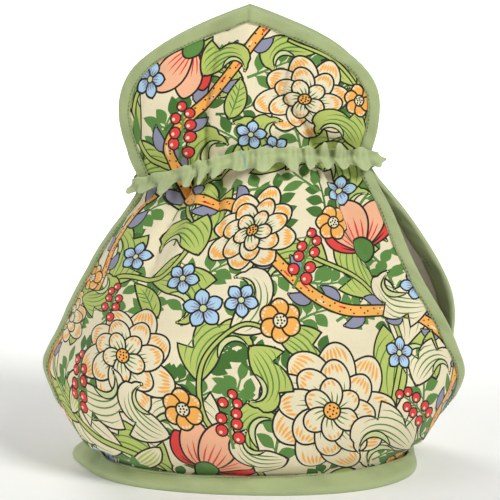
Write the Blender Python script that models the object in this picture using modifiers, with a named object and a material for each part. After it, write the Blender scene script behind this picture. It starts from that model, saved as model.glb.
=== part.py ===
"""Padded tea cosy with a drawn-in neck: two bound panels, a neck ruffle and a hem binding.

Sizes are in millimetres, and a mesh takes them to metres once, when it is made. The origin is the
centre of the footprint on the surface, +Z is up, the front panel faces -Y and the handle side is +X.

A panel is described as flat cloth: "across" runs from the middle line towards the handle side, and
"along" runs up the middle line from the cut bottom edge. bent_cloth() bends that cloth to its shape.
"""

import bmesh
import bpy
import numpy as np
from mathutils import Vector
from mathutils.geometry import delaunay_2d_cdt

MM = 0.001

# Cloth
PANEL_THICK = 5.0
PANEL_EDGE_THICK = 2.0
PUFF_START = 11.0
PUFF_RUN = 16.0
CLOTH_GAP = 0.65
CENTRE_SHIFT_X = -4.0

# Edge binding: its fold is the finished edge, and the panel's cut edge lies inside the fold.
BINDING_WIDTH = 9.4
BINDING_THICK = 1.0
PANEL_CUT = 2.6
FOLD_START = 2.3
BINDING_MIDDLE = 5.6

# Hem binding, folded over the bottom edge of both panels
HEM_ROWS = (0.0, 3.4, 6.8, 10.2)
HEM_FOLD = 2.0
HEM_THICK = 1.4
HEM_GAP = 1.15
BINDING_START = 12.0

# Neck ruffle
RUFFLE_THICK = 1.5
RUFFLE_HALF_HEIGHT = 7.4
RUFFLE_FLARE = 2.4
RUFFLE_WAVE = 5.5
RUFFLE_WAVES = 17
RUFFLE_LINES = (-1, -0.5, 0, 0.5, 1)
RUFFLE_COLUMNS = 112
RUFFLE_CLEAR = 1.9
# The waves are uneven: their spacing and their size change round the neck and over the height.
SPACING_WAVES = 5
SPACING_SHIFT = 0.9
SPACING_TURN = 0.6
SIZE_WAVES = 7
SIZE_SHIFT = 0.3
SIZE_TURN = 1.3

# The pointed top of a flap: its half width over its height is 1 - h ** ARCH_POWER.
ARCH_POWER = 2.35
ARCH_START_Z = 219.0
ARCH_HEIGHT = 64.0

# The neck line lies higher at the handle side and arcs up in the middle of the front.
NECK_Z = 186.0
NECK_MIDDLE_RISE = 5.2
NECK_SLOPE = 0.135
NECK_ARC = 0.0027
NECK_BACK_DROP = 0.05
NECK_REACH_BELOW = 125.0
NECK_REACH_ABOVE = 62.0

# Mesh steps over the flat cloth
EDGE_STEP = 13.0
ROW_STEP = 11.0
COLUMNS = 22
LEAST_STEP = 3.0
ARCH_STEPS = 18
ARCH_CROWDING = 1.15

# Block that cuts the hem level with the surface
LEVEL_SIZE = 400.0
LEVEL_DEPTH = 20.0

# Sections of the front panel, a row for each height. A section runs from the spout-side edge over
# a quarter point, the middle and the other quarter point to the handle-side edge.
SECTION_COLUMNS = (
    "z", "spout_x", "spout_y", "spout_quarter_x", "spout_quarter_y", "middle_x", "middle_y",
    "handle_quarter_x", "handle_quarter_y", "handle_turn_x", "handle_turn_y", "handle_x", "handle_y",
)
FRONT_SECTIONS = (
    (2.1, -106, -5, -76, -62, 0, -89.5, 80, -69, 101, -36, 102.5, -5),
    (5.2, -101, -5, -73, -60.5, 0, -87, 76.5, -66.5, 97.5, -34, 99, -5),
    (9.2, -96, -4.5, -70.5, -59, 0, -84.5, 73.5, -63.5, 96, -32, 97.5, -4.5),
    (14, -97, -4.5, -72, -61.5, 0, -86, 75, -64.5, 98.5, -33, 101, -4.5),
    (22, -104, -5, -76, -67, 0, -91, 78, -67, 104, -34, 109, -6),
    (34, -114.5, -7, -81, -71, 0, -97, 83, -71, 112, -38, 121, -12),
    (48, -121.5, -9, -84, -73, 0, -99, 85, -73, 118, -44, 129.5, -20),
    (62, -125, -12, -85, -73, 0, -98, 85, -74, 119, -49, 133.5, -30),
    (76, -120.5, -11, -81, -71, 0, -95, 82, -73, 114, -52, 130.5, -38),
    (98, -113.5, -10, -75, -64, 0, -87, 74, -68, 103, -51, 123, -43),
    (122, -107, -9, -69, -55, 0, -74, 63, -60, 91, -46, 110, -41),
    (147, -97, -8, -61, -44, 0, -58, 54, -47, 79, -35, 97, -31),
    (168, -82, -6, -51, -33, 2, -43, 48, -34, 71, -22, 86, -17),
    (186, -66, -4, -41, -24, 3, -32, 45, -24, 65, -12, 76, -5),
    (202, -70, -4.5, -46, -22, 2, -29, 49, -22, 69, -11, 79, -5),
    (219, -77, -6.5, -51, -21, 1.5, -27, 54, -21, 73, -12, 81.5, -7),
    (245, -77.5, -9, -51, -20, 1.5, -24, 55, -20, 74, -12, 82, -9),
    (292, -77.5, -10, -51, -16, 1.5, -18, 55, -16, 74, -12, 82, -10),
)

# Every section is then read as points evenly spaced from edge to edge.
EVEN_POINTS = 13
EVEN_SHARES = np.linspace(-1, 1, EVEN_POINTS)
MIDDLE_Y = EVEN_POINTS + 1
FINE_POINTS = 300

# The back panel mirrors the front one but for its edges, a row for each height.
BACK_EDGE_COLUMNS = ("spout_x", "spout_y", "handle_turn_x", "handle_turn_y", "handle_x", "handle_y")
BACK_EDGES = (
    (-106, 2, 100.5, 34, 102.5, 2),
    (-101, 2, 97, 33, 99, 2),
    (-96, 2.5, 95.5, 31, 97.5, 2.5),
    (-97, 3.5, 98, 32, 101, 3.5),
    (-104, 6, 104, 34, 109, 7),
    (-114, 9, 112, 38, 119, 11),
    (-120, 12, 116, 43, 126, 14),
    (-121, 14, 116, 46, 127, 16),
    (-118, 15, 115, 45, 129, 17),
    (-111, 16, 110, 41, 130, 17),
    (-104, 16, 102, 34, 125, 15),
    (-94, 14, 87, 25, 112, 13),
    (-80, 9, 75, 17, 93, 10),
    (-66, 4, 65, 12, 76, 5),
    (-72, 4.5, 68, 11, 78, 5),
    (-76.5, 6.5, 71, 12, 79.5, 7),
    (-76.5, 9, 71, 12, 79.5, 9),
    (-76.5, 10, 71, 12, 79.5, 10),
)

# Creases drawn in by the elastic: soft troughs in the flat cloth, each from one end to the other.
# Across is a share of the half width, and z is the height of the panel's nominal section.
FOLD_COLUMNS = ("across", "z", "to_across", "to_z", "depth", "to_depth", "wide", "to_wide")
FRONT_FOLDS = (
    (-0.22, 266, -0.38, 186, 5.5, 8.0, 11, 8),
    (0.33, 262, 0.26, 228, 3.5, 6.0, 9, 8),
    (0.26, 228, 0.58, 188, 6.0, 6.0, 8, 8),
    (-0.48, 186, -0.41, 112, 7.5, 2.5, 8, 15),
    (-0.25, 186, 0.00, 134, 7.5, 2.0, 8, 13),
    (0.64, 186, 0.82, 90, 7.0, 2.5, 10, 15),
)
BACK_FOLDS = (
    (-0.35, 256, -0.30, 186, 3.0, 6.0, 11, 8),
    (0.25, 262, 0.35, 186, 4.0, 6.0, 11, 8),
    (-0.55, 186, -0.50, 118, 6.0, 2.0, 8, 15),
    (0.05, 186, 0.00, 134, 5.0, 1.5, 8, 14),
    (0.60, 186, 0.56, 110, 6.0, 2.0, 8, 15),
)

LEAF_PRINT = (0.62, 0.58, 0.36)
SAGE = (0.34, 0.42, 0.19)


def spline(knots, rows, at):
    """A natural cubic through the rows, one row at each knot."""
    knots = np.asarray(knots, float)
    rows = np.asarray(rows, float)
    at = np.asarray(at, float)
    step = np.diff(knots)
    slope = np.diff(rows, axis=0) / step[:, None]
    last = len(knots) - 1
    system = np.eye(last + 1)
    change = np.zeros_like(rows)
    for i in range(1, last):
        system[i, i - 1:i + 2] = step[i - 1], 2 * (step[i - 1] + step[i]), step[i]
        change[i] = 6 * (slope[i] - slope[i - 1])
    bend = np.linalg.solve(system, change)
    i = np.clip(np.searchsorted(knots, at) - 1, 0, last - 1)
    part = (at - knots[i])[:, None]
    width = step[i][:, None]
    start = slope[i] - width * (2 * bend[i] + bend[i + 1]) / 6
    return rows[i] + part * (start + part * (bend[i] / 2 + part * (bend[i + 1] - bend[i]) / (6 * width)))


def smooth(share):
    share = np.clip(share, 0, 1)
    return share * share * (3 - 2 * share)


def unit(vectors):
    return vectors / np.linalg.norm(vectors, axis=-1, keepdims=True)


def running_length(points):
    steps = np.linalg.norm(np.diff(points, axis=0), axis=1)
    return np.concatenate([[0], np.cumsum(steps)])


def even_section(row):
    """A table row's height, then x and y at points evenly spaced along its curve."""
    points = row[1:].reshape(-1, 2)
    chord = running_length(points)
    curve = spline(chord, points, np.linspace(0, chord[-1], FINE_POINTS))
    length = running_length(curve)
    places = (EVEN_SHARES + 1) / 2 * length[-1]
    even = np.stack([np.interp(places, length, curve[:, axis]) for axis in (0, 1)], axis=1)
    return np.concatenate([row[:1], even.ravel()])


def section_points(columns, share):
    """x, y and z on sections whose columns are given, at a share of -1 to 1 from edge to edge."""
    weights = spline(EVEN_SHARES, np.eye(len(EVEN_SHARES)), share)
    x = (weights * columns[:, 1::2]).sum(axis=1)
    y = (weights * columns[:, 2::2]).sum(axis=1)
    return np.stack([x, y, columns[:, 0]], axis=1)


def neck_lift(points):
    """How far the drawn-in neck raises or lowers the cloth at these points."""
    x, y, z = points.T
    lift = NECK_MIDDLE_RISE + NECK_SLOPE * x - NECK_ARC * x * x - NECK_BACK_DROP * (y + abs(y))
    below = smooth(1 - (NECK_Z - z) / NECK_REACH_BELOW)
    above = smooth(1 - (z - NECK_Z) / NECK_REACH_ABOVE)
    return lift * np.where(z < NECK_Z, below, above)


class Panel:
    """Flat cloth and the way it bends. facing is -1 at the front and 1 at the back."""

    def __init__(self, sections, folds, facing):
        self.sections = np.array([even_section(row) for row in np.asarray(sections, float)])
        self.facing = facing
        self.along = running_length(self.sections[:, [MIDDLE_Y, 0]])
        widths = [running_length(row[1:].reshape(-1, 2))[-1] for row in self.sections]
        self.half_widths = np.array(widths)[:, None] / 2
        self.arch_start = self.along_at(ARCH_START_Z)
        self.top = self.arch_start + ARCH_HEIGHT
        self.folds = [self.flat_fold(row) for row in folds]
        regular = np.arange(self.arch_start, BINDING_START + EDGE_STEP / 2, -EDGE_STEP)[:0:-1]
        self.side_rows = np.concatenate([HEM_ROWS, [BINDING_START], regular])

    def along_at(self, z):
        return float(np.interp(z, self.sections[:, 0], self.along))

    def half_width(self, along):
        below_arch = np.minimum(along, self.arch_start)
        return spline(self.along, self.half_widths, below_arch)[:, 0]

    def cloth_row(self, along):
        """Flat points from edge to edge at one place along the cloth."""
        rows = np.full(COLUMNS + 1, along)
        return np.stack([np.linspace(-1, 1, COLUMNS + 1) * self.half_width(rows), rows], axis=1)

    def flat_fold(self, row):
        """A fold's ends on the flat cloth, then its depths and widths."""
        fold = dict(zip(FOLD_COLUMNS, row))
        ends = []
        for end in ("", "to_"):
            along = self.along_at(fold[end + "z"])
            across = fold[end + "across"] * self.half_width(np.array([along]))[0]
            ends.append((across, along))
        depths = (fold["depth"], fold["to_depth"])
        widths = (fold["wide"], fold["to_wide"])
        return np.array(ends), depths, widths

    def plain_cloth(self, across, along):
        """The bent cloth with no creases."""
        columns = spline(self.along, self.sections, along)
        points = section_points(columns, across / self.half_width(along))
        points[:, 2] += neck_lift(points)
        points[:, 0] += CENTRE_SHIFT_X
        return points

    def outward(self, bend, across, along):
        """The cloth's unit normals, away from the hollow."""
        sideways = bend(across + 1, along) - bend(across - 1, along)
        upwards = bend(across, along + 1) - bend(across, along - 1)
        return unit(np.cross(sideways, upwards)) * -self.facing

    def crease_depth(self, across, along):
        depth = np.zeros(len(across))
        place = np.stack([across, along], axis=1)
        for ends, depths, widths in self.folds:
            run = ends[1] - ends[0]
            share = np.clip((place - ends[0]) @ run / (run @ run), 0, 1)
            away = np.linalg.norm(place - ends[0] - share[:, None] * run, axis=1)
            wide = widths[0] + share * (widths[1] - widths[0])
            deep = depths[0] + share * (depths[1] - depths[0])
            depth = np.maximum(depth, deep * np.exp(-((away / wide) ** 2)))
        return depth

    def bent_cloth(self, across, along):
        across = np.asarray(across, float)
        along = np.asarray(along, float)
        points = self.plain_cloth(across, along)
        inward = -self.outward(self.plain_cloth, across, along)
        return points + self.crease_depth(across, along)[:, None] * inward

    def edge_distance(self, across, along):
        """Roughly how far the flat cloth's points lie inside the finished sides and top."""
        half = self.half_width(along)
        height = np.maximum(along - self.arch_start, 0) / ARCH_HEIGHT
        inside = 1 - abs(across) / half - height ** ARCH_POWER
        steep = np.hypot(1 / half, ARCH_POWER * height ** (ARCH_POWER - 1) / ARCH_HEIGHT)
        return inside / steep

    def edge_line(self, inset, start):
        """Flat points round the finished edge: up the spout side, over the point, down again."""
        rows = self.side_rows[self.side_rows >= start]
        side = np.stack([self.half_width(rows) - inset, rows], axis=1)
        half = self.half_width(np.array([self.arch_start]))[0]
        slope = ARCH_POWER * half / ARCH_HEIGHT
        peak_share = np.hypot(1, slope) / slope
        turn = np.linspace(0, 1, ARCH_STEPS + 1)
        height = 1 - (1 - turn) ** ARCH_CROWDING
        arch = np.stack(
            [
                (half - inset) * (1 - height ** ARCH_POWER),
                self.arch_start + (ARCH_HEIGHT - inset * peak_share) * height,
            ],
            axis=1,
        )
        handle_side = np.concatenate([side, arch])
        spout_side = handle_side * (-1, 1)
        return np.concatenate([spout_side, handle_side[::-1][1:]])


def back_sections():
    """The front panel's sections mirrored front to back, with the back panel's own edges."""
    sections = np.array(FRONT_SECTIONS, float)
    sections[:, 2::2] *= -1
    own = [SECTION_COLUMNS.index(name) for name in BACK_EDGE_COLUMNS]
    sections[:, own] = BACK_EDGES
    return sections


def clear_scene():
    for obj in list(bpy.data.objects):
        bpy.data.objects.remove(obj, do_unlink=True)


def collection_named(name):
    collection = bpy.data.collections.new(name)
    bpy.context.scene.collection.children.link(collection)
    return collection


def cloth_material(name, colour):
    material = bpy.data.materials.new(name)
    material.use_nodes = True
    shader = material.node_tree.nodes["Principled BSDF"]
    shader.inputs["Base Color"].default_value = (*colour, 1.0)
    shader.inputs["Roughness"].default_value = 0.85
    shader.inputs["Metallic"].default_value = 0.0
    return material


def new_object(name, mesh, colour, collection):
    mesh.materials.append(cloth_material(f"{name}_cloth", colour))
    mesh.shade_smooth()
    obj = bpy.data.objects.new(name, mesh)
    collection.objects.link(obj)
    return obj


def thicken(obj, thick):
    solidify = obj.modifiers.new("Thickness", "SOLIDIFY")
    solidify.thickness = thick * MM
    solidify.offset = 0.0
    return solidify


def bent_grid(name, points, colour, collection, ring=False):
    """A grid primitive bent to the given rows of points. A ring's last column meets its first."""
    rows, columns = points.shape[:2]
    bm = bmesh.new()
    bmesh.ops.create_grid(bm, x_segments=columns - 1, y_segments=rows - 1, size=1)
    bm.verts.ensure_lookup_table()
    for vertex, place in zip(bm.verts, points.reshape(-1, 3)):
        vertex.co = Vector(place * MM)
    if ring:
        bmesh.ops.remove_doubles(bm, verts=bm.verts, dist=0.01 * MM)
    mesh = bpy.data.meshes.new(name)
    bm.to_mesh(mesh)
    bm.free()
    return new_object(name, mesh, colour, collection)


def flat_pattern(panel):
    """The cut panel as a flat mesh: its outline, two lines inside that, and rows of points."""
    loops = []
    for inset, bottom in ((PANEL_CUT, 0.0), (BINDING_MIDDLE, HEM_ROWS[1]), (PUFF_START, HEM_ROWS[3])):
        edge = panel.edge_line(inset, bottom)
        base = panel.cloth_row(bottom)[::-1]
        base = base[abs(base[:, 0]) < edge[-1, 0] - LEAST_STEP]
        loops.append(np.concatenate([edge, base]))
    inner = []
    for along in (HEM_ROWS[2], *np.arange(HEM_ROWS[3] + ROW_STEP / 2, panel.top, ROW_STEP)):
        row = panel.cloth_row(along)
        outer_line = BINDING_MIDDLE if along < HEM_ROWS[3] else PUFF_START
        inner.append(row[panel.edge_distance(*row.T) > outer_line + LEAST_STEP])
    places = []
    edges = []
    for loop in loops:
        first = len(places)
        places += [Vector(place) for place in loop]
        edges += [(first + i, first + (i + 1) % len(loop)) for i in range(len(loop))]
    places += [Vector(place) for place in np.concatenate(inner)]
    found = delaunay_2d_cdt(places, edges, [], 1, 1e-5)
    return np.array([tuple(place) for place in found[0]]), found[2]


def add_panel(name, panel, collection):
    flat, faces = flat_pattern(panel)
    mesh = bpy.data.meshes.new(name)
    mesh.from_pydata((panel.bent_cloth(*flat.T) * MM).tolist(), [], faces)
    obj = new_object(name, mesh, LEAF_PRINT, collection)
    inside = np.minimum(panel.edge_distance(*flat.T), flat[:, 1])
    padding = obj.vertex_groups.new(name="padding")
    for index, weight in enumerate(smooth((inside - PUFF_START) / PUFF_RUN)):
        padding.add([index], float(weight), "REPLACE")
    solidify = thicken(obj, PANEL_THICK)
    solidify.vertex_group = padding.name
    solidify.thickness_vertex_group = PANEL_EDGE_THICK / PANEL_THICK


def add_binding(name, panel, collection):
    """A strip folded over the sides and the point of a panel, from hem to hem."""
    lift = PANEL_EDGE_THICK / 2 + CLOTH_GAP + BINDING_THICK / 2
    sewn = BINDING_WIDTH - BINDING_THICK / 2
    profile = (
        (sewn, 1), (BINDING_MIDDLE, 1), (FOLD_START, 1), (BINDING_THICK / 2, 0),
        (FOLD_START, -1), (BINDING_MIDDLE, -1), (sewn, -1),
    )
    rows = []
    for inset, side in profile:
        flat = panel.edge_line(inset, BINDING_START).T
        outward = panel.outward(panel.bent_cloth, *flat)
        rows.append(panel.bent_cloth(*flat) + side * lift * outward)
    thicken(bent_grid(name, np.array(rows), SAGE, collection), BINDING_THICK)


def ring_rows(panels, columns, along, offset):
    """Points round both panels at one place along the cloth, offset outwards."""
    points = []
    outwards = []
    for panel, shares in zip(panels, (np.linspace(-1, 1, columns), np.linspace(1, -1, columns))):
        rows = np.full(columns, along)
        across = shares * panel.half_width(rows)
        points.append(panel.plain_cloth(across, rows))
        outwards.append(panel.outward(panel.plain_cloth, across, rows))
    points = np.concatenate(points)
    outwards = np.concatenate(outwards)
    ring = points + np.asarray(offset)[..., None] * outwards
    return np.concatenate([ring, ring[:1]])


def level_cutter(collection):
    """The block below the surface."""
    depth = LEVEL_DEPTH * MM
    size = LEVEL_SIZE * MM
    bpy.ops.mesh.primitive_cube_add(size=1, location=(0, 0, -depth / 2))
    block = bpy.context.active_object
    block.name = "hem_level_cutter"
    block.scale = (size, size, depth)
    block.hide_render = True
    block.display_type = "WIRE"
    for holder in list(block.users_collection):
        holder.objects.unlink(block)
    collection.objects.link(block)
    return block


def add_hem(name, panels, collection, cutters):
    """One folded strip round the bottom edge of both panels, cut level where it stands."""
    lift = PANEL_EDGE_THICK / 2 + HEM_GAP + HEM_THICK / 2
    profile = [(along, 1) for along in HEM_ROWS[::-1]]
    profile += [(-HEM_FOLD, 0)]
    profile += [(along, -1) for along in HEM_ROWS]
    rows = [ring_rows(panels, COLUMNS + 1, along, side * lift) for along, side in profile]
    hem = bent_grid(name, np.array(rows), SAGE, collection, ring=True)
    thicken(hem, HEM_THICK)
    level = hem.modifiers.new("Level", "BOOLEAN")
    level.object = level_cutter(cutters)
    level.operation = "DIFFERENCE"
    level.solver = "EXACT"


def add_ruffle(name, panels, collection):
    """The gathered strip round the neck: held at its middle, waving at both of its edges."""
    neck = panels[0].along_at(NECK_Z)
    close = PANEL_THICK / 2 + RUFFLE_CLEAR + RUFFLE_THICK / 2
    turn = np.arange(RUFFLE_COLUMNS) / RUFFLE_COLUMNS * 2 * np.pi
    rows = []
    for height in RUFFLE_LINES:
        shift = SPACING_SHIFT * np.sin(SPACING_WAVES * turn) + SPACING_TURN * height
        sway = (1 + np.sin(RUFFLE_WAVES * turn + shift)) / 2
        size = 1 - SIZE_SHIFT * (1 + np.sin(SIZE_WAVES * turn + SIZE_TURN * height))
        outwards = RUFFLE_FLARE * height ** 2 + RUFFLE_WAVE * abs(height) * size * sway
        along = neck + height * RUFFLE_HALF_HEIGHT
        rows.append(ring_rows(panels, RUFFLE_COLUMNS // 2, along, close + outwards))
    ruffle = bent_grid(name, np.array(rows), SAGE, collection, ring=True)
    thicken(ruffle, RUFFLE_THICK)


def main():
    clear_scene()
    parts = collection_named("tea_cosy")
    cutters = collection_named("cutters")
    front = Panel(FRONT_SECTIONS, FRONT_FOLDS, facing=-1)
    back = Panel(back_sections(), BACK_FOLDS, facing=1)
    for side, panel in (("front", front), ("back", back)):
        add_panel(f"{side}_panel", panel, parts)
        add_binding(f"{side}_binding", panel, parts)
    add_ruffle("neck_ruffle", (front, back), parts)
    add_hem("hem_binding", (front, back), parts, cutters)


main()
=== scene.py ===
import math

import bmesh
import bpy
import numpy as np
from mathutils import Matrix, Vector
from mathutils.geometry import delaunay_2d_cdt


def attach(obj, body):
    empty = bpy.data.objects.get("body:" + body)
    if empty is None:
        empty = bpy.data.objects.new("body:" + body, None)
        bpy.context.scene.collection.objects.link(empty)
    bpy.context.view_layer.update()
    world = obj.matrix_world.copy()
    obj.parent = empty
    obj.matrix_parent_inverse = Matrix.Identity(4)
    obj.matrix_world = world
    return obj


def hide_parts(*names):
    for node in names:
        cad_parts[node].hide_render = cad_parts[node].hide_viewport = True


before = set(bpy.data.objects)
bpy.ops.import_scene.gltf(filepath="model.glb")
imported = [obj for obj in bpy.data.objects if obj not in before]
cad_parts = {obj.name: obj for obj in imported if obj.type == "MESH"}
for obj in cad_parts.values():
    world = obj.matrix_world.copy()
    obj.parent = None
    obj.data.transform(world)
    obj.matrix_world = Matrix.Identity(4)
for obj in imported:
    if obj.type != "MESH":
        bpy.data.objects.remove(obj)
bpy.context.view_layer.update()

mm = 0.001
bpy.ops.object.select_all(action="DESELECT")


# small helpers

def linearColour(hexColour):
    parts = [int(hexColour[i:i + 2], 16) / 255 for i in (1, 3, 5)]
    return [c / 12.92 if c <= 0.04045 else ((c + 0.055) / 1.055) ** 2.4 for c in parts] + [1.0]


def setInputs(tree, node, inputs):
    for name, value in inputs.items():
        if isinstance(value, bpy.types.NodeSocket):
            tree.links.new(value, node.inputs[name])
        else:
            node.inputs[name].default_value = value


def addNode(tree, kind, inputs=None, **settings):
    node = tree.nodes.new(kind)
    for name, value in settings.items():
        setattr(node, name, value)
    setInputs(tree, node, inputs or {})
    return node


def newFinish(name):
    material = bpy.data.materials.new(name)
    material.use_nodes = True
    tree = material.node_tree
    return material, tree, tree.nodes["Principled BSDF"], addNode(tree, "ShaderNodeTexCoord").outputs["Object"]


def smooth(share):
    share = np.clip(share, 0, 1)
    return share * share * (3 - 2 * share)


def unit(vectors):
    return vectors / (np.linalg.norm(vectors, axis=-1, keepdims=True) + 1e-12)


def runningLength(points):
    steps = np.linalg.norm(np.diff(points, axis=0), axis=1)
    return np.concatenate([[0], np.cumsum(steps)])


def bump(value, middle, width):
    return np.exp(-(((value - middle) / width) ** 2))


def pointsAt(places, length, line):
    # the points of a line at some distances along it
    return np.stack([np.interp(places, length, line[:, axis]) for axis in range(line.shape[1])], axis=1)


def evenTurn(count):
    return np.arange(count) / count * 2 * np.pi


# camera, light and floor

cameraSetup = {"distance": 1.3, "aim": (-0.0017, 0.0, 0.1314), "elevation": 9.0, "azimuth": 2.0,
               "pixelAtAim": 0.00062, "pixelsWide": 500}


def addCamera():
    data = bpy.data.cameras.new("camera")
    setup = cameraSetup
    data.lens = setup["distance"] / setup["pixelAtAim"] * data.sensor_width / setup["pixelsWide"]
    data.clip_end = 20
    camera = bpy.data.objects.new("camera", data)
    bpy.context.scene.collection.objects.link(camera)
    rise, turn = math.radians(setup["elevation"]), math.radians(setup["azimuth"])
    away = Vector((math.sin(turn) * math.cos(rise), -math.cos(turn) * math.cos(rise), math.sin(rise)))
    camera.location = Vector(setup["aim"]) + away * setup["distance"]
    camera.rotation_euler = away.to_track_quat("Z", "Y").to_euler()
    bpy.context.scene.camera = camera


lightSetup = (   # name, kind, place, aim, size, watts
    ("key_softbox", "AREA", (0.9, -1.05, 1.25), (0, 0, 0.12), 0.75, 23),
    ("fill_softbox", "AREA", (-1.6, -0.85, 0.45), (0, 0, 0.12), 1.0, 12.0),
    ("rear_softbox", "AREA", (-0.9, 1.7, 1.3), (0, 0.25, 0.05), 1.0, 19),
    ("backdrop_light", "SPOT", (0, 0.95, 2.2), (0, 2.05, 0.3), 0.4, 330),
)
lightLook = {"spotAngle": 105, "spotBlend": 1.0, "world": 0.16}


def addLights():
    for name, kind, place, aim, size, watts in lightSetup:
        data = bpy.data.lights.new(name, kind)
        data.energy = watts
        if kind == "AREA":
            data.shape = "DISK"
            data.size = size
        else:
            data.shadow_soft_size = size
            data.spot_size = math.radians(lightLook["spotAngle"])
            data.spot_blend = lightLook["spotBlend"]
        lamp = bpy.data.objects.new(name, data)
        lamp.location = place
        lamp.rotation_euler = (Vector(place) - Vector(aim)).to_track_quat("Z", "Y").to_euler()
        lamp.visible_camera = False
        bpy.context.scene.collection.objects.link(lamp)
    world = bpy.data.worlds.new("studio")
    bpy.context.scene.world = world
    world.use_nodes = True
    sky = world.node_tree.nodes["Background"]
    sky.inputs["Color"].default_value = (1, 1, 1, 1)
    sky.inputs["Strength"].default_value = lightLook["world"]
    bpy.context.scene.view_settings.view_transform = "Standard"


paperSize = {"wide": 6.0, "front": -2.6, "back": 2.6, "height": 2.6, "roll": 0.8, "rollSteps": 24,
             "colour": "#FAFAF8"}


def addFloor():
    # seamless paper: flat under the object and rolled up behind it
    bpy.ops.mesh.primitive_plane_add(size=1, location=(0, 0, 0))
    floor = bpy.context.object
    floor.name = "studio_floor"
    for corner in floor.data.vertices:
        corner.co.x *= paperSize["wide"]
        corner.co.y = paperSize["back"] if corner.co.y > 0 else paperSize["front"]
    bpy.ops.object.mode_set(mode="EDIT")
    bpy.ops.mesh.select_all(action="DESELECT")
    mesh = bmesh.from_edit_mesh(floor.data)
    for edge in mesh.edges:
        edge.select_set(all(corner.co.y > 0 for corner in edge.verts))
    bmesh.update_edit_mesh(floor.data)
    bpy.ops.mesh.extrude_region_move(TRANSFORM_OT_translate={"value": (0, 0, paperSize["height"])})
    bpy.ops.object.mode_set(mode="OBJECT")
    roll = floor.modifiers.new("roll", "BEVEL")
    roll.width = paperSize["roll"]
    roll.segments = paperSize["rollSteps"]
    bpy.ops.object.shade_smooth()
    # matt seamless paper: an even pale ground with a faint grain
    paper, tree, shader, place = newFinish("white_paper")
    grain = addNode(tree, "ShaderNodeTexNoise", {"Vector": place, "Scale": 900})
    ridge = addNode(tree, "ShaderNodeBump",
                    {"Height": grain.outputs["Fac"], "Strength": 0.05, "Distance": 0.0002})
    setInputs(tree, shader, {"Normal": ridge.outputs["Normal"], "Base Color": linearColour(paperSize["colour"]),
                             "Roughness": 0.9})
    floor.data.materials.append(paper)


addCamera()
addLights()
addFloor()
print("camera, lights and floor")


# how the cloth hangs: flat cloth in mm, "across" to the handle side and "along" up the middle

cloth = {
    "thick": 5.4, "edgeThick": 1.3, "puffStart": 9.6, "puffRun": 14.0, "gap": 0.2, "shiftX": -4.0,
    "archPower": 2.35, "archStartZ": 219.0, "archHeight": 64.0,
    "neckZ": 186.0, "neckRise": 5.2, "neckSlope": 0.135, "neckArc": 0.0027, "neckBackDrop": 0.05,
    "reachBelow": 125.0, "reachAbove": 62.0, "evenPoints": 13,
}

# height, then x and y from the spout-side edge over quarter, middle and quarter points to the handle side
frontSections = (
    (2.1, -106, -5, -76, -62, 0, -89.5, 80, -69, 101, -36, 102.5, -5),
    (5.2, -101, -5, -73, -60.5, 0, -87, 76.5, -66.5, 97.5, -34, 99, -5),
    (9.2, -96, -4.5, -70.5, -59, 0, -84.5, 73.5, -63.5, 96, -32, 97.5, -4.5),
    (14, -97, -4.5, -72, -61.5, 0, -86, 75, -64.5, 98.5, -33, 101, -4.5),
    (22, -104, -5, -76, -67, 0, -91, 78, -67, 104, -34, 109, -6),
    (34, -114.5, -7, -81, -71, 0, -97, 83, -71, 112, -38, 121, -12),
    (48, -121.5, -9, -84, -73, 0, -99, 85, -73, 118, -44, 129.5, -20),
    (62, -125, -12, -85, -73, 0, -98, 85, -74, 119, -49, 133.5, -30),
    (76, -120.5, -11, -81, -71, 0, -95, 82, -73, 114, -52, 130.5, -38),
    (98, -113.5, -10, -75, -64, 0, -87, 74, -68, 103, -51, 123, -43),
    (122, -107, -9, -69, -55, 0, -74, 63, -60, 91, -46, 110, -41),
    (147, -97, -8, -61, -44, 0, -58, 54, -47, 79, -35, 97, -31),
    (168, -82, -6, -51, -33, 2, -43, 48, -34, 71, -22, 86, -17),
    (186, -66, -4, -41, -24, 3, -32, 45, -24, 65, -12, 76, -5),
    (202, -70, -4.5, -46, -22, 2, -29, 49, -22, 69, -11, 79, -5),
    (219, -77, -6.5, -51, -21, 1.5, -27, 54, -21, 73, -12, 81.5, -7),
    (245, -77.5, -9, -51, -20, 1.5, -24, 55, -20, 74, -12, 82, -9),
    (292, -77.5, -10, -51, -16, 1.5, -18, 55, -16, 74, -12, 82, -10),
)
# the back panel's own edges: spout x and y, handle turn x and y, handle x and y
backEdges = (
    (-106, 2, 100.5, 34, 102.5, 2), (-101, 2, 97, 33, 99, 2), (-96, 2.5, 95.5, 31, 97.5, 2.5),
    (-97, 3.5, 98, 32, 101, 3.5), (-104, 6, 104, 34, 109, 7), (-114, 9, 112, 38, 119, 11),
    (-120, 12, 116, 43, 126, 14), (-121, 14, 116, 46, 127, 16), (-118, 15, 115, 45, 129, 17),
    (-111, 16, 110, 41, 130, 17), (-104, 16, 102, 34, 125, 15), (-94, 14, 87, 25, 112, 13),
    (-80, 9, 75, 17, 93, 10), (-66, 4, 65, 12, 76, 5), (-72, 4.5, 68, 11, 78, 5),
    (-76.5, 6.5, 71, 12, 79.5, 7), (-76.5, 9, 71, 12, 79.5, 9), (-76.5, 10, 71, 12, 79.5, 10),
)
# how deep the small forms of the cloth are, in mm, but for the pinch, which is a share of its crease;
# in the sines that draw them, a place in mm is divided by the length of one wave over two pi
reliefDepths = {"lumps": 0.9, "ripple": 0.5, "hang": 1.4, "drawn": 1.1, "pinch": 0.5, "tied": 1.6,
                "pucker": 0.32}
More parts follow.
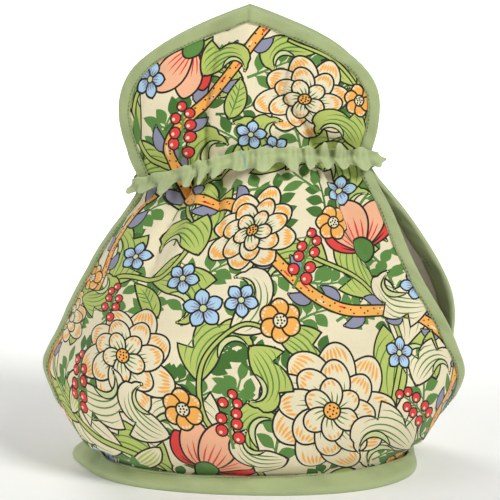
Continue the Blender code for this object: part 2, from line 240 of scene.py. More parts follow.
# creases from the elastic: across as a share and height at each end, then depths and widths
frontFolds = (
    (-0.22, 266, -0.38, 186, 5.5, 8.0, 11, 8), (0.33, 262, 0.26, 228, 3.5, 6.0, 9, 8),
    (0.26, 228, 0.58, 188, 6.0, 6.0, 8, 8), (-0.48, 186, -0.41, 112, 7.5, 2.5, 8, 15),
    (-0.25, 186, 0.00, 134, 7.5, 2.0, 8, 13), (0.64, 186, 0.82, 90, 7.0, 2.5, 10, 15),
)
backFolds = (
    (-0.35, 256, -0.30, 186, 3.0, 6.0, 11, 8), (0.25, 262, 0.35, 186, 4.0, 6.0, 11, 8),
    (-0.55, 186, -0.50, 118, 6.0, 2.0, 8, 15), (0.05, 186, 0.00, 134, 5.0, 1.5, 8, 14),
    (0.60, 186, 0.56, 110, 6.0, 2.0, 8, 15),
)


def spline(knots, rows, at):
    knots, rows, at = np.asarray(knots, float), np.asarray(rows, float), np.asarray(at, float)
    step = np.diff(knots)
    slope = np.diff(rows, axis=0) / step[:, None]
    last = len(knots) - 1
    system = np.eye(last + 1)
    change = np.zeros_like(rows)
    for i in range(1, last):
        system[i, i - 1:i + 2] = step[i - 1], 2 * (step[i - 1] + step[i]), step[i]
        change[i] = 6 * (slope[i] - slope[i - 1])
    bend = np.linalg.solve(system, change)
    i = np.clip(np.searchsorted(knots, at) - 1, 0, last - 1)
    part = (at - knots[i])[:, None]
    width = step[i][:, None]
    start = slope[i] - width * (2 * bend[i] + bend[i + 1]) / 6
    return rows[i] + part * (start + part * (bend[i] / 2 + part * (bend[i + 1] - bend[i]) / (6 * width)))


evenShares = np.linspace(-1, 1, cloth["evenPoints"])


def evenSection(row):
    points = row[1:].reshape(-1, 2)
    chord = runningLength(points)
    curve = spline(chord, points, np.linspace(0, chord[-1], 300))
    length = runningLength(curve)
    places = (evenShares + 1) / 2 * length[-1]
    return np.concatenate([row[:1], pointsAt(places, length, curve).ravel()])


def neckLift(points):
    x, y, z = points.T
    lift = cloth["neckRise"] + cloth["neckSlope"] * x - cloth["neckArc"] * x * x
    lift = lift - cloth["neckBackDrop"] * (y + abs(y))
    below = smooth(1 - (cloth["neckZ"] - z) / cloth["reachBelow"])
    above = smooth(1 - (z - cloth["neckZ"]) / cloth["reachAbove"])
    return lift * np.where(z < cloth["neckZ"], below, above)


class Panel:
    def __init__(self, sections, folds, facing):
        self.sections = np.array([evenSection(row) for row in np.asarray(sections, float)])
        self.facing = facing
        self.alongs = runningLength(self.sections[:, [cloth["evenPoints"] + 1, 0]])
        widths = [runningLength(row[1:].reshape(-1, 2))[-1] for row in self.sections]
        self.halfWidths = np.array(widths)[:, None] / 2
        self.archStart = self.alongAt(cloth["archStartZ"])
        self.top = self.archStart + cloth["archHeight"]
        self.neck = self.alongAt(cloth["neckZ"])
        self.folds = [self.flatFold(*row) for row in folds]

    def alongAt(self, z):
        return float(np.interp(z, self.sections[:, 0], self.alongs))

    def halfWidth(self, along):
        return spline(self.alongs, self.halfWidths, np.minimum(along, self.archStart))[:, 0]

    def flatFold(self, across, z, toAcross, toZ, depth, toDepth, wide, toWide):
        ends = []
        for share, height in ((across, z), (toAcross, toZ)):
            along = self.alongAt(height)
            ends.append((share * self.halfWidth(np.array([along]))[0], along))
        return np.array(ends), (depth, toDepth), (wide, toWide)

    def plainCloth(self, across, along):
        columns = spline(self.alongs, self.sections, along)
        weights = spline(evenShares, np.eye(len(evenShares)), across / self.halfWidth(along))
        x = (weights * columns[:, 1::2]).sum(axis=1)
        y = (weights * columns[:, 2::2]).sum(axis=1)
        points = np.stack([x, y, columns[:, 0]], axis=1)
        points[:, 2] += neckLift(points)
        points[:, 0] += cloth["shiftX"]
        return points

    def outward(self, bend, across, along, reach=1.0):
        sideways = bend(across + reach, along) - bend(across - reach, along)
        upwards = bend(across, along + reach) - bend(across, along - reach)
        return unit(np.cross(sideways, upwards)) * -self.facing

    def creaseDepth(self, across, along, narrow=1.0):
        depth = np.zeros(len(across))
        place = np.stack([across, along], axis=1)
        for ends, depths, widths in self.folds:
            run = ends[1] - ends[0]
            share = np.clip((place - ends[0]) @ run / (run @ run), 0, 1)
            away = np.linalg.norm(place - ends[0] - share[:, None] * run, axis=1)
            wide = (widths[0] + share * (widths[1] - widths[0])) * narrow
            deep = depths[0] + share * (depths[1] - depths[0])
            depth = np.maximum(depth, deep * np.exp(-((away / wide) ** 2)))
        return depth

    def lifted(self, across, along, out):
        # the creased cloth, moved outwards by a number of millimetres
        out = out - self.creaseDepth(across, along)
        return self.plainCloth(across, along) + out[:, None] * self.outward(self.plainCloth, across, along)

    def bentCloth(self, across, along):
        return self.lifted(across, along, 0.0)

    def edgeDistance(self, across, along):
        half = self.halfWidth(along)
        height = np.maximum(along - self.archStart, 0) / cloth["archHeight"]
        power = cloth["archPower"]
        inside = 1 - abs(across) / half - height ** power
        steep = np.hypot(1 / half, power * height ** (power - 1) / cloth["archHeight"])
        return inside / steep

    def edgeLine(self, inset, start, step, archSteps):
        rows = np.linspace(start, self.archStart, max(2, int((self.archStart - start) / step)) + 1)[:-1]
        side = np.stack([self.halfWidth(rows) - inset, rows], axis=1)
        half = self.halfWidth(np.array([self.archStart]))[0]
        slope = cloth["archPower"] * half / cloth["archHeight"]
        peakShare = np.hypot(1, slope) / slope
        height = 1 - (1 - np.linspace(0, 1, archSteps + 1)) ** 1.15
        arch = np.stack([(half - inset) * (1 - height ** cloth["archPower"]),
                         self.archStart + (cloth["archHeight"] - inset * peakShare) * height], axis=1)
        handleSide = np.concatenate([side, arch])
        return np.concatenate([handleSide * (-1, 1), handleSide[::-1][1:]])

    def pleats(self, across, along, away):
        share = across / self.halfWidth(along)
        depth = np.zeros(len(across))
        for place, down, up, deep, wide in pleatRows:
            place = place * -self.facing + (0.03 if self.facing > 0 else 0)
            reach = np.where(away < 0, down, up)
            spread = wide * (1 + 0.9 * np.minimum(abs(away) / reach, 1.5))
            sway = place + 0.012 * np.sin(away / 11 + 40 * place)
            beside = ((share - sway) * self.halfWidth(along) / spread) ** 2
            ridge = 0.5 * smooth((abs(away) - 9) / 10) * np.exp(-beside / 4.5)
            depth += (ridge - np.exp(-beside)) * deep * np.exp(-((away / reach) ** 2))
        return depth

    def relief(self, across, along):
        # what the padding and the sewing do to the cloth: lumps, gathers at the neck, puckers at the edges
        depth = reliefDepths
        lumps = (np.sin(across / 21 + 1.4 * np.sin(along / 33)) * np.sin(along / 25 + 0.7)
                 + 0.5 * np.sin(across / 11.3 - along / 17.1 + 1.1))
        away = along - self.neck
        ripple = depth["ripple"] * np.sin(across / 2.9 + 1.2 * np.sin(across / 9)) * np.exp(-((away / 17) ** 2))
        edge = self.edgeDistance(across, along)
        pucker = np.sin((along + 0.7 * across * (along > self.archStart)) / 2.9 + 1.7 * np.sin(along / 21))
        pucker = pucker * np.exp(-np.maximum(edge - 8, 0) / 8)
        drawn = np.sin(across / 4.6 + 1.9 * np.sin(across / 23 + 0.6) + self.facing)
        drawn = drawn * np.exp(-((along - 8) / 17) ** 2)
        overHang = depth["hang"] * bump(along, 25, 12) * (1 + 0.5 * np.sin(across / 17 + 1))
        overHang = overHang + depth["drawn"] * drawn
        settle = smooth((edge - 9) / 12) * smooth((along - 8) / 14)
        tied = np.exp(-((away / 11) ** 2))
        pinch = depth["pinch"] * self.creaseDepth(across + 1.6, along, 0.26)
        soft = depth["lumps"] * lumps * (1 - tied) + self.pleats(across, along, away) + ripple + overHang
        return (soft - pinch - depth["tied"] * tied) * settle + depth["pucker"] * pucker * smooth(along / 20)

    def padding(self, across, along):
        inside = np.minimum(self.edgeDistance(across, along), along)
        full = smooth((inside - cloth["puffStart"]) / cloth["puffRun"])
        return (cloth["edgeThick"] + (cloth["thick"] - cloth["edgeThick"]) * full) / 2

    def outerFace(self, across, along):
        return self.lifted(across, along, self.padding(across, along) + self.relief(across, along))

    def innerFace(self, across, along):
        return self.lifted(across, along, 0.5 * self.relief(across, along) - self.padding(across, along))

    def flatArea(self):
        along = np.linspace(0, self.top, 600)
        height = np.maximum(along - self.archStart, 0) / cloth["archHeight"]
        width = 2 * self.halfWidth(along) * (1 - height ** cloth["archPower"])
        return float(width.mean() * self.top) * mm * mm


def backSections():
    sections = np.array(frontSections, float)
    sections[:, 2::2] *= -1
    sections[:, [1, 2, 9, 10, 11, 12]] = backEdges
    return sections


# the soft pleats that the elastic draws in: share of the half width, reach down and up in mm, depth and width
pleatRows = (
    (-0.93, 34, 20, 2.2, 4.2), (-0.80, 52, 26, 3.0, 4.6), (-0.66, 40, 22, 2.6, 4.0),
    (-0.56, 62, 18, 2.4, 4.6), (-0.36, 74, 24, 3.6, 5.0), (-0.14, 58, 34, 3.0, 4.4),
    (-0.03, 40, 22, 2.4, 3.8), (0.08, 68, 24, 3.4, 5.2), (0.20, 44, 36, 2.8, 4.2), (0.33, 66, 20, 3.2, 4.8),
    (0.45, 46, 30, 3.0, 4.2), (0.55, 34, 18, 2.2, 3.6), (0.74, 58, 26, 3.2, 4.6), (0.84, 44, 20, 2.8, 4.0),
    (0.94, 30, 16, 2.0, 4.0),
)

front = Panel(frontSections, frontFolds, -1)
back = Panel(backSections(), backFolds, 1)


# The print: flat shapes in millimetres, painted one over another as in screen printing.
# Each mark is an outline and the name of its ink.
printInks = {
    "cream": "#EADFBD", "lime": "#B7C568", "paleLime": "#CED79A", "leaf": "#5B8840", "deepLeaf": "#44702F",
    "ink": "#25261F", "orange": "#F4B055", "peach": "#F3B690", "red": "#E3433F", "blue": "#AECFE8",
    "lilac": "#8E90A6", "reverse": "#E9E2CC",
}
# width of the dark line and spacing of outline points in mm, and how much a pen stroke thins to its ends
printLook = {"line": 1.15, "step": 2.1, "taper": 0.92}


def pathThrough(points, closed=False):
    points = np.asarray(points, float)
    count = len(points)
    out = []
    for i in range(count if closed else count - 1):
        if closed:
            a, b, c, d = (points[(i + k) % count] for k in (-1, 0, 1, 2))
        else:
            b, c = points[i], points[i + 1]
            a = points[i - 1] if i > 0 else 2 * b - c
            d = points[i + 2] if i + 2 < count else 2 * c - b
        steps = max(2, int(np.linalg.norm(c - b) / printLook["step"]))
        t = (np.arange(steps) / steps)[:, None]
        out.append(0.5 * (2 * b + (c - a) * t + (2 * a - 5 * b + 4 * c - d) * t ** 2
                          + (3 * b - a - 3 * c + d) * t ** 3))
    if not closed:
        out.append(points[-1:])
    return np.concatenate(out)


def stemLine(length, bend, curl=0.0, step=None):
    # from the origin along +x, turning by bend over its length and by curl near its end
    count = max(7, int(length / (step or printLook["step"])))
    t = (np.arange(count) + 0.5) / count
    heading = bend * t + curl * t ** 3
    steps = np.stack([np.cos(heading), np.sin(heading)], axis=1) * length / count
    return np.concatenate([[[0, 0]], np.cumsum(steps, axis=0)])


def crowded(line, count):
    # the same line with its points crowded towards both ends, where an outline turns most
    share = 0.5 - 0.5 * np.cos(np.linspace(0, np.pi, count))
    return pointsAt(share, lineShare(line), line)


def lineSide(line):
    run = np.gradient(line, axis=0)
    run /= np.linalg.norm(run, axis=1, keepdims=True) + 1e-9
    return np.stack([-run[:, 1], run[:, 0]], axis=1)


def lineShare(line):
    length = runningLength(line)
    return length / length[-1]


def lineHeading(line):
    run = np.gradient(line, axis=0)
    return np.degrees(np.arctan2(run[:, 1], run[:, 0]))


def grown(shape, by):
    ahead = np.roll(shape, -1, axis=0) - shape
    behind = shape - np.roll(shape, 1, axis=0)
    sides = []
    for run in (ahead, behind):
        run = run / (np.linalg.norm(run, axis=1, keepdims=True) + 1e-9)
        sides.append(np.stack([run[:, 1], -run[:, 0]], axis=1))
    both = sides[0] + sides[1]
    length = np.linalg.norm(both, axis=1, keepdims=True)
    both = both / np.maximum(length, 0.5) * np.minimum(2 / np.maximum(length, 0.5), 1.5)
    area = np.sum(shape[:, 0] * np.roll(shape[:, 1], -1) - shape[:, 1] * np.roll(shape[:, 0], -1))
    return shape + both * by * (1 if area > 0 else -1)


def outlined(shape, inkName, line=None):
    half = (printLook["line"] if line is None else line) / 2
    return [(grown(shape, half), "ink"), (grown(shape, -half), inkName)]


def aroundLine(line, half):
    # the outline of a shape that reaches half a width to either side of a line
    side = lineSide(line) * half[:, None]
    return np.concatenate([line + side, (line - side)[::-1]])


def ribbon(line, start, end):
    return aroundLine(line, (start + (end - start) * lineShare(line)) / 2)


def penStroke(line, width, inkName):
    if len(line) > 6:
        line = line[np.unique(np.concatenate([np.arange(0, len(line), 2), [len(line) - 1]]))]
    thin = printLook["taper"] * abs(2 * lineShare(line) - 1) ** 2.2
    return (aroundLine(line, width / 2 * (1 - thin)), inkName)


def dot(at, radius, corners):
    turn = evenTurn(corners)
    return np.asarray(at) + radius * np.stack([np.cos(turn), np.sin(turn)], axis=1)


def placed(marks, at, turn):
    c, s = math.cos(math.radians(turn)), math.sin(math.radians(turn))
    matrix = np.array([[c, s], [-s, c]])
    return [(shape @ matrix + np.asarray(at), inkName) for shape, inkName in marks]


def scrollLeaf(length, width, bend, hook, lobes, inkName):
    # a long leaf with its tip curled over: pointed lobes outside the curl, and its pale back inside it
    line = stemLine(length, bend, hook, 1.5)
    t = lineShare(line)
    side = lineSide(line)
    body = np.sin(np.pi * t ** 0.72) ** 0.8
    lobe = np.where(t < 0.86, (lobes * t / 0.86) % 1.0, (t - 0.86) / 0.14)
    way = -1 if bend > 0 else 1
    outer = width * (0.20 + 0.44 * lobe ** 0.75 * (1 - smooth((t - 0.72) / 0.28))) * body * way
    inner = -width * (0.26 + 0.06 * np.sin(7 * t)) * body * way
    shape = np.concatenate([line + side * outer[:, None], (line + side * inner[:, None])[::-1]])
    marks = outlined(shape, inkName)
    for share in (-0.5, -0.15, 0.16, 0.42, 0.68):
        w = share * 0.6 * width * body * way if share > 0 else -share * inner
        keep = (t > 0.06 + 0.10 * abs(share)) & (t < 0.84 - 0.30 * max(share, 0))
        keep &= abs(w) < abs(outer) * 0.86 if share > 0 else True
        if keep.sum() > 4:
            marks.append(penStroke((line + side * w[:, None])[keep], 0.95, "leaf"))
    turned = np.sin(np.pi * np.clip((t - 0.34) / 0.63, 0, 1)) ** 0.9
    fold = line + side * (inner * (1 - 0.75 * turned))[:, None]
    lip = (t > 0.34) & (t < 0.97)
    edge, fold = (line + side * inner[:, None])[lip], fold[lip]
    return marks + outlined(np.concatenate([edge, fold[::-1]]), "paleLime", 0.9)


def bladeLeaf(length, width, bend, inkName, stalk=0.2):
    line = stemLine(length, bend, 0, 2.3)
    t = lineShare(line)
    u = np.clip((t - stalk) / (1 - stalk), 0, 1)
    w = np.maximum(width / 2 * np.sin(np.pi * u ** 0.72) ** 0.85, 0.5 * (t < 0.97))
    return [(aroundLine(line, w), inkName)]


def veinedLeaf(length, width, bend):
    # a plain pointed leaf with a mid rib and slanted ribs
    line = stemLine(length, bend)
    t = lineShare(line)
    side = lineSide(line)
    w = width / 2 * np.sin(np.pi * t ** 0.8) ** 0.8
    marks = outlined(aroundLine(line, w), "lime")
    marks.append(penStroke(line[t < 0.93], 1.1, "leaf"))
    run = np.gradient(line, axis=0)
    run /= np.linalg.norm(run, axis=1, keepdims=True)
    for share in (0.22, 0.38, 0.54, 0.7):
        i = int(np.argmin(abs(t - share)))
        for way in (-1, 1):
            end = line[i] + side[i] * way * w[i] * 0.8 + run[i] * w[i] * 0.9
            marks.append(penStroke(np.linspace(line[i], end, 4), 0.85, "leaf"))
    return marks


def petal(length, width, bend, inkName, inner, tip, lines, blunt=0.5):
    rib = crowded(stemLine(length, bend, 0, 1.0), 12 + int(length / 3))
    t = lineShare(rib)
    side = lineSide(rib)
    w = width / 2 * np.sin(np.pi * t ** 1.35) ** blunt
    marks = outlined(aroundLine(rib, w), inkName)
    for k in range(lines):
        share = (k - (lines - 1) / 2) / max(1, lines) * 1.5
        path = rib + side * (w * share)[:, None]
        low = (t > 0.08) & (t < 0.70 - 0.16 * abs(share))
        high = (t > 0.74 - 0.12 * abs(share)) & (t < 0.955 - 0.04 * abs(share))
        if inner and low.sum() > 2:
            marks.append(penStroke(path[low], 1.0, inner))
        if tip and high.sum() > 2:
            marks.append(penStroke(path[high], 1.6, tip))
    return marks


def seedHeart(radius, inkName):
    seeds = 9
    marks = outlined(dot((0, 0), radius, 18), inkName)
    for k in range(seeds):
        away = radius * 0.76 * math.sqrt((k + 0.5) / seeds)
        marks.append((dot((away * math.cos(2.4 * k), away * math.sin(2.4 * k)), 0.66, 6), "ink"))
    return marks


def peony(radius, petals):
    # three rings of petals that all sweep the same way, green in the throat and orange at the tips
    marks = []
    for ring, count, wide, bend, lines in ((1.0, petals, 0.60, 0.9, 6), (0.74, petals - 1, 0.46, 0.8, 5),
                                           (0.46, petals - 3, 0.34, 0.6, 3)):
        for k in range(count):
            length = radius * ring * (1 + 0.07 * math.sin(2.3 * k + ring))
            one = petal(length, radius * wide, bend, "cream", "leaf", "orange", lines)
            marks += placed(one, (0, 0), 360 / count * (k + 0.5 * ring) + 6 * math.sin(3.1 * k))
    return marks + seedHeart(radius * 0.13, "orange")


def petalRing(petals, one):
    return [mark for k in range(petals) for mark in placed(one, (0, 0), 360 / petals * k)]


def daisy(radius):
    one = petal(radius, radius * 0.86, 0.15, "orange", None, "cream", 3, 0.55)
    return petalRing(6, one) + seedHeart(radius * 0.33, "cream")


def starFlower(radius):
    one = petal(radius, radius * 0.72, 0.0, "blue", "lilac", None, 3, 0.7)
    return petalRing(5, one) + outlined(dot((0, 0), radius * 0.2, 10), "paleLime", 0.8)


def poppy(length):
    # a flower from the side: two far petals, then three near ones and the cup
    marks = []
    petals = ((58, 0.86, 0.40, "red"), (-58, 0.86, 0.40, "red"), (34, 0.98, 0.5, "peach"),
              (-34, 0.98, 0.5, "peach"), (0, 1.04, 0.56, "peach"))
    for angle, long, wide, colour in petals:
        inner = "red" if colour == "peach" else "ink"
        one = petal(length * long, length * wide, -0.004 * angle, colour, inner, None, 4, 0.6)
        marks += placed(one, (0, 0), angle)
    cup = [(-6, -5), (2, -7.5), (9, -4), (11, 0), (9, 4), (2, 7.5), (-6, 5), (-9, 0)]
    return marks + outlined(pathThrough(cup, closed=True) * length / 40, "leaf")


def berrySprig(length, bend, berries):
    line = stemLine(length, bend)
    marks = [(ribbon(line, 1.8, 1.0), "leaf")]
    t = lineShare(line)
    side = lineSide(line)
    for k in range(berries):
        share = 0.22 + 0.78 * k / (berries - 1)
        i = int(np.argmin(abs(t - share)))
        way = 0 if k == berries - 1 else (1 if k % 2 else -1)
        at = line[i] + side[i] * way * (4.8 - share)
        root = line[max(i - 2, 0)]
        marks.append((ribbon(np.array([root, (root + at) / 2, at]), 1.1, 0.9), "leaf"))
        marks += outlined(dot(at, 3.7 - 0.9 * share, 13), "red", 0.9)
        marks.append((dot(at + (-0.9, 0.9), 0.95, 7), "cream"))
    return marks


def leafSprig(length, bend, inkName, pairs=3):
    size = groundSprigs["size"]
    line = stemLine(length, bend)
    marks = [(ribbon(line, 1.9, 1.1), inkName)]
    t = lineShare(line)
    heading = lineHeading(line)
    for k in range(pairs * 2):
        share = 0.14 + 0.8 * k / (pairs * 2)
        i = int(np.argmin(abs(t - share)))
        way = 1 if k % 2 else -1
        leaf = bladeLeaf(size * (1.1 - 0.4 * share), size * 0.5, 0.5 * way, inkName)
        marks += placed(leaf, line[i], heading[i] + 48 * way)
    return marks + placed(bladeLeaf(size * 0.9, size * 0.42, 0.1, inkName, 0.05), line[-1], heading[-1])


def branch(points, width):
    # the woody stem: orange with a paler middle and small leaves along both sides
    line = pathThrough(points)
    t = lineShare(line)
    side = lineSide(line)
    heading = lineHeading(line)
    length = runningLength(line)[-1]
    count = int(length / 15)
    marks = []
    for k in range(count):
        i = int(np.argmin(abs(t - (k + 0.6) / count)))
        way = 1 if k % 2 else -1
        shape = bladeLeaf(15, 7.5, -0.7 * way, "lilac", 0.0)[0][0]
        beside = line[i] + side[i] * way * width * 0.35
        marks += placed(outlined(shape, "lilac", 0.9), beside, heading[i] + 42 * way)
    marks += outlined(ribbon(line, width, width * 0.8), "orange")
    for k in range(int(length / 13)):   # long streaks
        part = (t > (k + 0.15) * 13 / length) & (t < (k + 0.8) * 13 / length)
        if part.sum() > 3:
            streak = (line + side * width * 0.13 * (1 if k % 2 else -1))[part]
            marks.append(penStroke(streak, 1.3, "red" if k % 3 else "cream"))
    for k in range(int(length / 3.1)):   # bark flecks
        i = int(np.argmin(abs(t - (k + 0.5) * 3.1 / length)))
        at = line[i] + side[i] * width * 0.26 * math.sin(2.4 * k)
        marks += placed([(dot((0, 0), 0.62, 6), "ink")], at, heading[i])
    return marks


def leafyVine(points, width, leaves):
    # a stem with scroll leaves: each at a share of its length, on the side given, of a length and width
    path = pathThrough(points)
    t = lineShare(path)
    heading = lineHeading(path)
    marks = []
    for k, (share, way, length, wide, lobes) in enumerate(leaves):
        i = int(np.argmin(abs(t - share)))
        inkName = "cream" if path[i][1] < paleBelow and k % 2 else "lime"
        leaf = scrollLeaf(length, wide, 1.15 * way, 2.1 * way, lobes, inkName)
        marks += placed(leaf, path[i], heading[i] - 6 * way)
    return marks + outlined(ribbon(path, width, width * 0.6), "lime", 1.0)


def bud(length, width):
    line = stemLine(length, 0.4)
    t = lineShare(line)
    side = lineSide(line)
    w = width / 2 * np.sin(np.pi * t ** 0.9) ** 0.6
    marks = outlined(aroundLine(line, w), "cream")
    for share in (-0.6, -0.2, 0.2, 0.6):
        marks.append(penStroke((line + side * (w * share)[:, None])[(t > 0.12) & (t < 0.88)], 1.5, "lime"))
    for way in (1, -1):
        marks += placed(bladeLeaf(length * 0.5, width * 0.5, 0.5 * way, "leaf", 0.0), (-2, 0), 24 * way)
    return marks


# where each motif grows from, in mm across and up the flat cloth, and which way it grows in degrees
groundSprigs = {"across": 30.0, "along": 27.0, "length": 31, "size": 14.0, "left": -166, "right": 170,
                "low": -6, "top": 312}
paleBelow = 125   # lower than this, in mm, some of the scroll leaves are cream


def printMarks(mirror=1, lift=0.0):
    marks = []

    def put(one, x, y, turn):
        marks.extend(placed(one, (x, y), turn))

    # the ground: thin dark sprigs everywhere, leaning with the sweep of the branch
    look = groundSprigs
    for row, y in enumerate(np.arange(look["low"], look["top"], look["along"]), 1):
        for x in np.arange(look["left"] + look["across"] / 2 * (row % 2), look["right"], look["across"]):
            sway = math.sin(x / 31 + row * 1.7) + math.sin(y / 23 - x / 47)
            inkName = "leaf" if (row + int(x)) % 3 else "deepLeaf"
            sprig = leafSprig(look["length"] + 5 * sway, 0.7 * math.sin(3 * sway), inkName)
            put(sprig, x + 4 * math.sin(y), y + 4 * math.sin(x), 80 + 55 * sway)
    for points, width, leaves in leafyVines:
        marks.extend(leafyVine(points, width, leaves))
    for points, width in branches:
        marks.extend(branch(points, width))
    for x, y, turn, length, width, bend in veinedLeaves:
        put(veinedLeaf(length, width, bend), x, y, turn)
    for x, y, radius, petals, turn in peonies:
        put(peony(radius, petals), x, y, turn)
    for x, y, length, turn in poppies:
        put(poppy(length), x, y, turn)
    for x, y, turn, length, width, bend, hook, lobes in looseLeaves:
        inkName = "cream" if y < paleBelow and int(x) % 3 else "lime"
        put(scrollLeaf(length, width, bend, hook, lobes, inkName), x, y, turn)
    for x, y, turn, length, width in buds:
        put(bud(length, width), x, y, turn)
    for x, y, radius in starFlowers:
        put(starFlower(radius), x, y, x * 7 % 60)
    for x, y, radius in daisies:
        put(daisy(radius), x, y, x * 5 % 60)
    for x, y, turn, length, bend, berries in berrySprigs:
        put(berrySprig(length, bend, berries), x, y, turn)
    return [(shape * (mirror, 1) + (0, lift), inkName) for shape, inkName in marks]


leafyVines = (   # points, width, then (share, side, length, width, lobes) of each leaf
    (((-34, -8), (-58, 22), (-96, 34), (-132, 60), (-140, 100), (-112, 130)), 4.2,
     ((0.10, 1, 62, 30, 3), (0.26, -1, 70, 34, 3), (0.44, 1, 60, 30, 3), (0.60, -1, 66, 32, 3),
      (0.78, -1, 58, 30, 3), (0.97, 1, 52, 26, 2))),
    (((158, 10), (118, 20), (96, 50), (106, 92), (84, 126), (50, 142)), 4.2,
     ((0.08, -1, 56, 28, 2), (0.22, 1, 64, 32, 3), (0.40, -1, 66, 34, 3), (0.58, 1, 62, 32, 3),
      (0.76, -1, 60, 30, 3), (0.96, 1, 56, 28, 3))),
    (((14, -6), (2, 26), (-18, 52), (-14, 84), (8, 104), (30, 98)), 3.8,
     ((0.16, -1, 56, 28, 3), (0.34, 1, 60, 30, 3), (0.56, -1, 54, 28, 3), (0.80, 1, 48, 26, 2),
      (0.98, -1, 44, 22, 2))),
    (((-88, 120), (-72, 142), (-40, 138), (-22, 160), (-34, 190), (-12, 206)), 3.8,
     ((0.12, 1, 56, 28, 3), (0.34, -1, 56, 30, 3), (0.56, 1, 54, 28, 3), (0.78, -1, 58, 30, 3),
      (0.98, 1, 40, 22, 2))),
    (((-40, 206), (-66, 222), (-70, 250), (-44, 270), (-14, 268)), 3.6,
     ((0.10, 1, 44, 24, 2), (0.32, -1, 50, 26, 3), (0.56, 1, 40, 22, 2), (0.80, -1, 46, 26, 3))),
    (((22, 200), (52, 214), (72, 238), (56, 268), (24, 284)), 3.6,
     ((0.10, -1, 50, 28, 3), (0.34, 1, 50, 26, 3), (0.62, -1, 46, 24, 2), (0.86, 1, 42, 24, 2))),
    (((92, 150), (72, 168), (66, 196)), 3.2, ((0.2, -1, 46, 24, 2), (0.8, 1, 46, 24, 2))),
)
branches = (
    (((146, -8), (132, 34), (150, 74), (118, 108), (66, 112), (28, 140), (0, 176), (-34, 190), (-50, 222),
      (-22, 250), (4, 284), (24, 306)), 7.5),
    (((-146, 6), (-154, 52), (-130, 96), (-92, 132), (-78, 170), (-60, 198)), 6.5),
)
veinedLeaves = (
    (-44, 108, 100, 32, 14, 0.6), (66, 10, 200, 32, 14, 0.5), (-118, 84, 80, 32, 14, -0.6),
    (128, 66, 100, 32, 14, -0.4), (-12, 234, 60, 28, 13, 0.5),
)
looseLeaves = (   # x, y, turn, length, width, bend, hook, lobes: these lie over the flowers
    (110, 20, 118, 60, 30, 1.1, 2.0, 3), (12, 92, -44, 46, 24, -1.1, -2.0, 3),
    (-106, 62, -34, 56, 30, 1.1, 2.1, 3), (-40, 40, 168, 46, 24, -1.1, -2.0, 2),
    (-108, 128, -20, 48, 26, 1.1, 2.1, 3), (-18, 148, 104, 44, 24, 1.2, 2.1, 2),
    (70, 214, 112, 44, 24, 1.1, 2.1, 2), (128, 118, 200, 50, 26, -1.1, -2.0, 3),
    (26, 28, 196, 40, 22, -1.1, -2.0, 2), (112, 64, 60, 44, 24, -1.1, -2.0, 3),
    (22, 200, 150, 46, 26, -1.1, -2.1, 3), (-28, 262, 60, 38, 20, -1.1, -2.0, 2),
)
peonies = (
    (56, 54, 40, 9, 0), (-64, 84, 34, 8, 20), (34, 246, 29, 8, 10), (12, 160, 26, 8, 32), (-128, 112, 28, 8, 5),
)
poppies = ((-24, 14, 38, 62), (84, 150, 34, 118), (-34, 280, 32, 232))
buds = (
    (98, 196, 130, 28, 13), (-72, 232, 120, 28, 13), (-96, 62, 210, 28, 13), (112, 24, -30, 30, 14),
    (-70, 12, 30, 30, 14),
)
starFlowers = (
    (-14, 114, 12), (8, 118, 10), (-26, 134, 10), (62, 188, 10.5), (-100, 14, 11), (-60, 156, 10),
    (58, 282, 9.5), (118, 130, 10.5), (104, 84, 10), (-60, 260, 10), (148, 44, 11), (0, 222, 9.5),
    (14, 212, 8.5),
)
daisies = (
    (30, 106, 12.5), (-98, 146, 12), (60, 164, 11.5), (-30, 56, 12), (102, 6, 12.5), (-140, 34, 12),
    (68, 246, 10.5), (-16, 300, 10.5),
)
berrySprigs = (
    (-108, 44, 60, 38, 0.6, 9), (38, 124, 60, 34, 0.5, 8), (-46, 214, 60, 32, 0.6, 8),
    (-4, 34, 100, 32, -0.6, 8), (124, 36, 120, 34, 0.5, 8), (-84, 108, 50, 30, 0.5, 7),
)


# finishes

bandWidth = 0.31416   # of a wave texture at a scale of 1, in metres


def weaveHeight(tree, across, along, pitch):
    # a plain weave: two sets of parallel threads, at a pitch in metres on a UV map that is in metres
    sets = []
    for axis, share in (("X", across), ("Y", along)):
        flat = addNode(tree, "ShaderNodeUVMap", uv_map="cloth").outputs["UV"]
        thread = addNode(tree, "ShaderNodeTexWave", {
            "Vector": flat, "Scale": bandWidth / pitch, "Distortion": 0.6, "Detail": 1.0, "Detail Scale": 2.0},
            wave_type="BANDS", bands_direction=axis, wave_profile="SIN")
        sets.append(addNode(tree, "ShaderNodeMath", {0: thread.outputs["Fac"], 1: share}, operation="MULTIPLY"))
    return addNode(tree, "ShaderNodeMath", {0: sets[0].outputs[0], 1: sets[1].outputs[0]}, operation="ADD")


# how fine each texture of the cloth is, higher being finer, and how deep it is crumpled, in metres
clothGrain = {"patches": 38.0, "fibres": 1500.0, "crumple": 90.0, "crumpleDepth": 0.0005}


